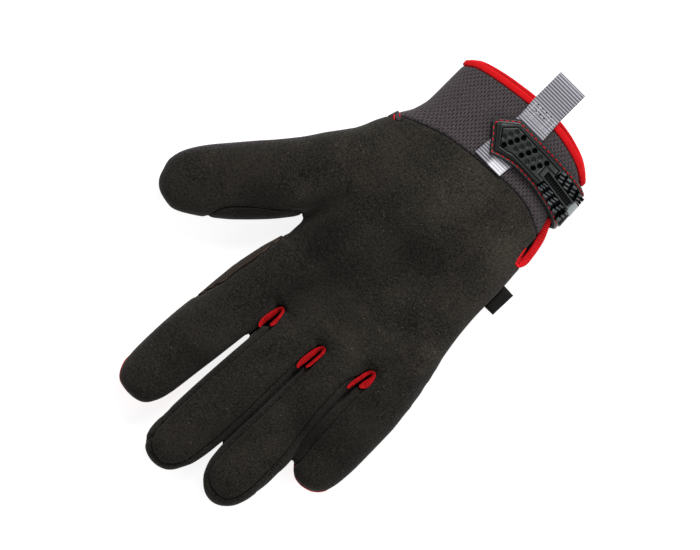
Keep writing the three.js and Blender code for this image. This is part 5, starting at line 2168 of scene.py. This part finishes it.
class SmallParts:
    """The blank side label, and the folded tab with its red bar tack."""

    def slab(self, name: str, slot: str, node: str, finish: Finish, outline: Sequence, low: float,
             high: float, bend: float) -> None:
        """Makes a small folded piece of cloth.

        Args:
            name: the object's name.
            slot: the record's material slot.
            node: the CAD node that it stands for.
            finish: its material.
            outline: its four corners as seen from above.
            low: its underside.
            high: its top.
            bend: how far its free edge hangs.
        """
        a, b, c, d = [np.array(p, float) for p in outline]
        n = 14
        u, v = np.meshgrid(np.linspace(0, 1, n), np.linspace(0, 1, n), indexing="ij")
        u, v = u.reshape(-1, 1), v.reshape(-1, 1)
        plan = (a * (1 - v) + b * v) * (1 - u) + (d * (1 - v) + c * v) * u
        middle = (low + high) / 2 - bend * (1 - u) ** 2
        edge = np.minimum.reduce([u, 1 - u, v, 1 - v]) * 9
        half = (high - low) / 2 * np.sqrt(np.clip(edge, 0, 1))
        points = np.vstack([np.hstack([plan, middle + half]), np.hstack([plan, middle - half])])
        faces = slab_faces(n, n)
        made = mesh_object(name, points, outward_faces(points, faces.tolist()), finish.material())
        settle(made, slot, node)

    def build(self) -> None:
        """Makes them."""
        self.slab("side_label_cloth", "label_cloth", "side_label", Finish.LABEL,
                  ((-45.4, -28.6), (-45, -15.6), (-39.6, -15.5), (-38.9, -28.9)), 13.2, 14.8, 0.5)
        self.slab("thumb_tab_cloth", "label_cloth", "thumb_tab", Finish.TAB,
                  ((52.2, -45.6), (54.4, -46.3), (52.8, -51.4), (50.6, -51.0)), 12.6, 17.6, 0.0)
        x, y = np.array([51.5, 51.9, 52.3, 50.7]), np.array([-47.5, -47.9, -48.4, -50.4])
        z = top_height(x, y)
        row = Spots(np.stack([x, y, z + 0.2], 1), np.tile([0.75, -0.6, -0.3], (4, 1)), outward(x, y, z))
        settle(row.repeat("bar_tack", Repeat.STITCH, (2.0, 0.6, 0.5), Finish.RED_THREAD), "red_tape")


# Studio


@dataclass(frozen=True)
class Studio:
    """A pale floor, soft lamps and a camera straight above, as in the photograph."""

    centre: tuple[float, float] = (14.7, 18.0)
    view_width: float = 323.4
    view_height: float = 13.0
    lens: float = 520.0
    sensor: float = 36.0

    def floor(self) -> None:
        """Lays the floor."""
        size = 3.0
        mesh = bpy.data.meshes.new("floor")
        corners = [(-size, -size, 0), (size, -size, 0), (size, size, 0), (-size, size, 0)]
        mesh.from_pydata(corners, [], [(0, 1, 2, 3)])
        made = bpy.data.objects.new("floor", mesh)
        mesh.materials.append(LitFloor().make())
        made.location.z = -0.00005
        bpy.context.scene.collection.objects.link(made)

    def lamp(self, name: str, at: tuple, size: float, power: float) -> None:
        """Hangs a soft lamp that faces the glove.

        Args:
            name: its name.
            at: where it hangs, in metres.
            size: its side, in metres.
            power: its power in watts.
        """
        data = bpy.data.lights.new(name, "AREA")
        data.shape, data.size, data.energy = "SQUARE", size, power
        made = bpy.data.objects.new(name, data)
        made.location = at
        made.rotation_euler = (Vector((0.015, 0.018, 0.0)) - Vector(at)).to_track_quat("-Z", "Y").to_euler()
        bpy.context.scene.collection.objects.link(made)

    def camera(self) -> None:
        """Sets the camera straight above, turned as the photograph is."""
        data = bpy.data.cameras.new("camera")
        data.lens, data.sensor_width = self.lens, self.sensor
        made = bpy.data.objects.new("camera", data)
        away = self.view_width / (self.sensor / self.lens) + self.view_height
        c = math.sqrt(0.5)
        turn = Matrix(((-c, c, 0), (-c, -c, 0), (0, 0, 1))).to_4x4()
        made.matrix_world = Matrix.Translation((self.centre[0] * MM, self.centre[1] * MM, away * MM)) @ turn
        bpy.context.scene.collection.objects.link(made)
        bpy.context.scene.camera = made

    def build(self) -> None:
        """Makes the studio."""
        self.camera()
        self.floor()
        world = bpy.data.worlds.new("Soft white room")
        world.use_nodes = True
        world.node_tree.nodes["Background"].inputs["Color"].default_value = (1, 1, 1, 1)
        world.node_tree.nodes["Background"].inputs["Strength"].default_value = 0.36
        bpy.context.scene.world = world
        bpy.context.scene.view_settings.view_transform = "Standard"
        self.lamp("key lamp", (0.3, -0.75, 0.75), 0.5, 13.0)
        self.lamp("side lamp", (-0.75, -0.1, 0.7), 0.6, 3.5)


def main() -> None:
    """Builds the glove and its studio."""
    Studio().build()
    Panels(build_skin()).build()
    CuffBinding().build()
    for node, rows in CROTCH_LOOPS.items():
        TapeLoop(node, rows, depth=6.0, level=-0.4, spread=2.6, finish=Finish.SHADED_LOOP_TAPE, tilt=0.75).build()
    TapeLoop("notch_binding", NOTCH_TAPE, depth=4.2, level=-0.7, spread=1.5, finish=Finish.NOTCH_TAPE).build()
    Strap().build()
    PullRibbon().build()
    Seams().build()
    SmallParts().build()


if __name__ == "__main__":
    main()
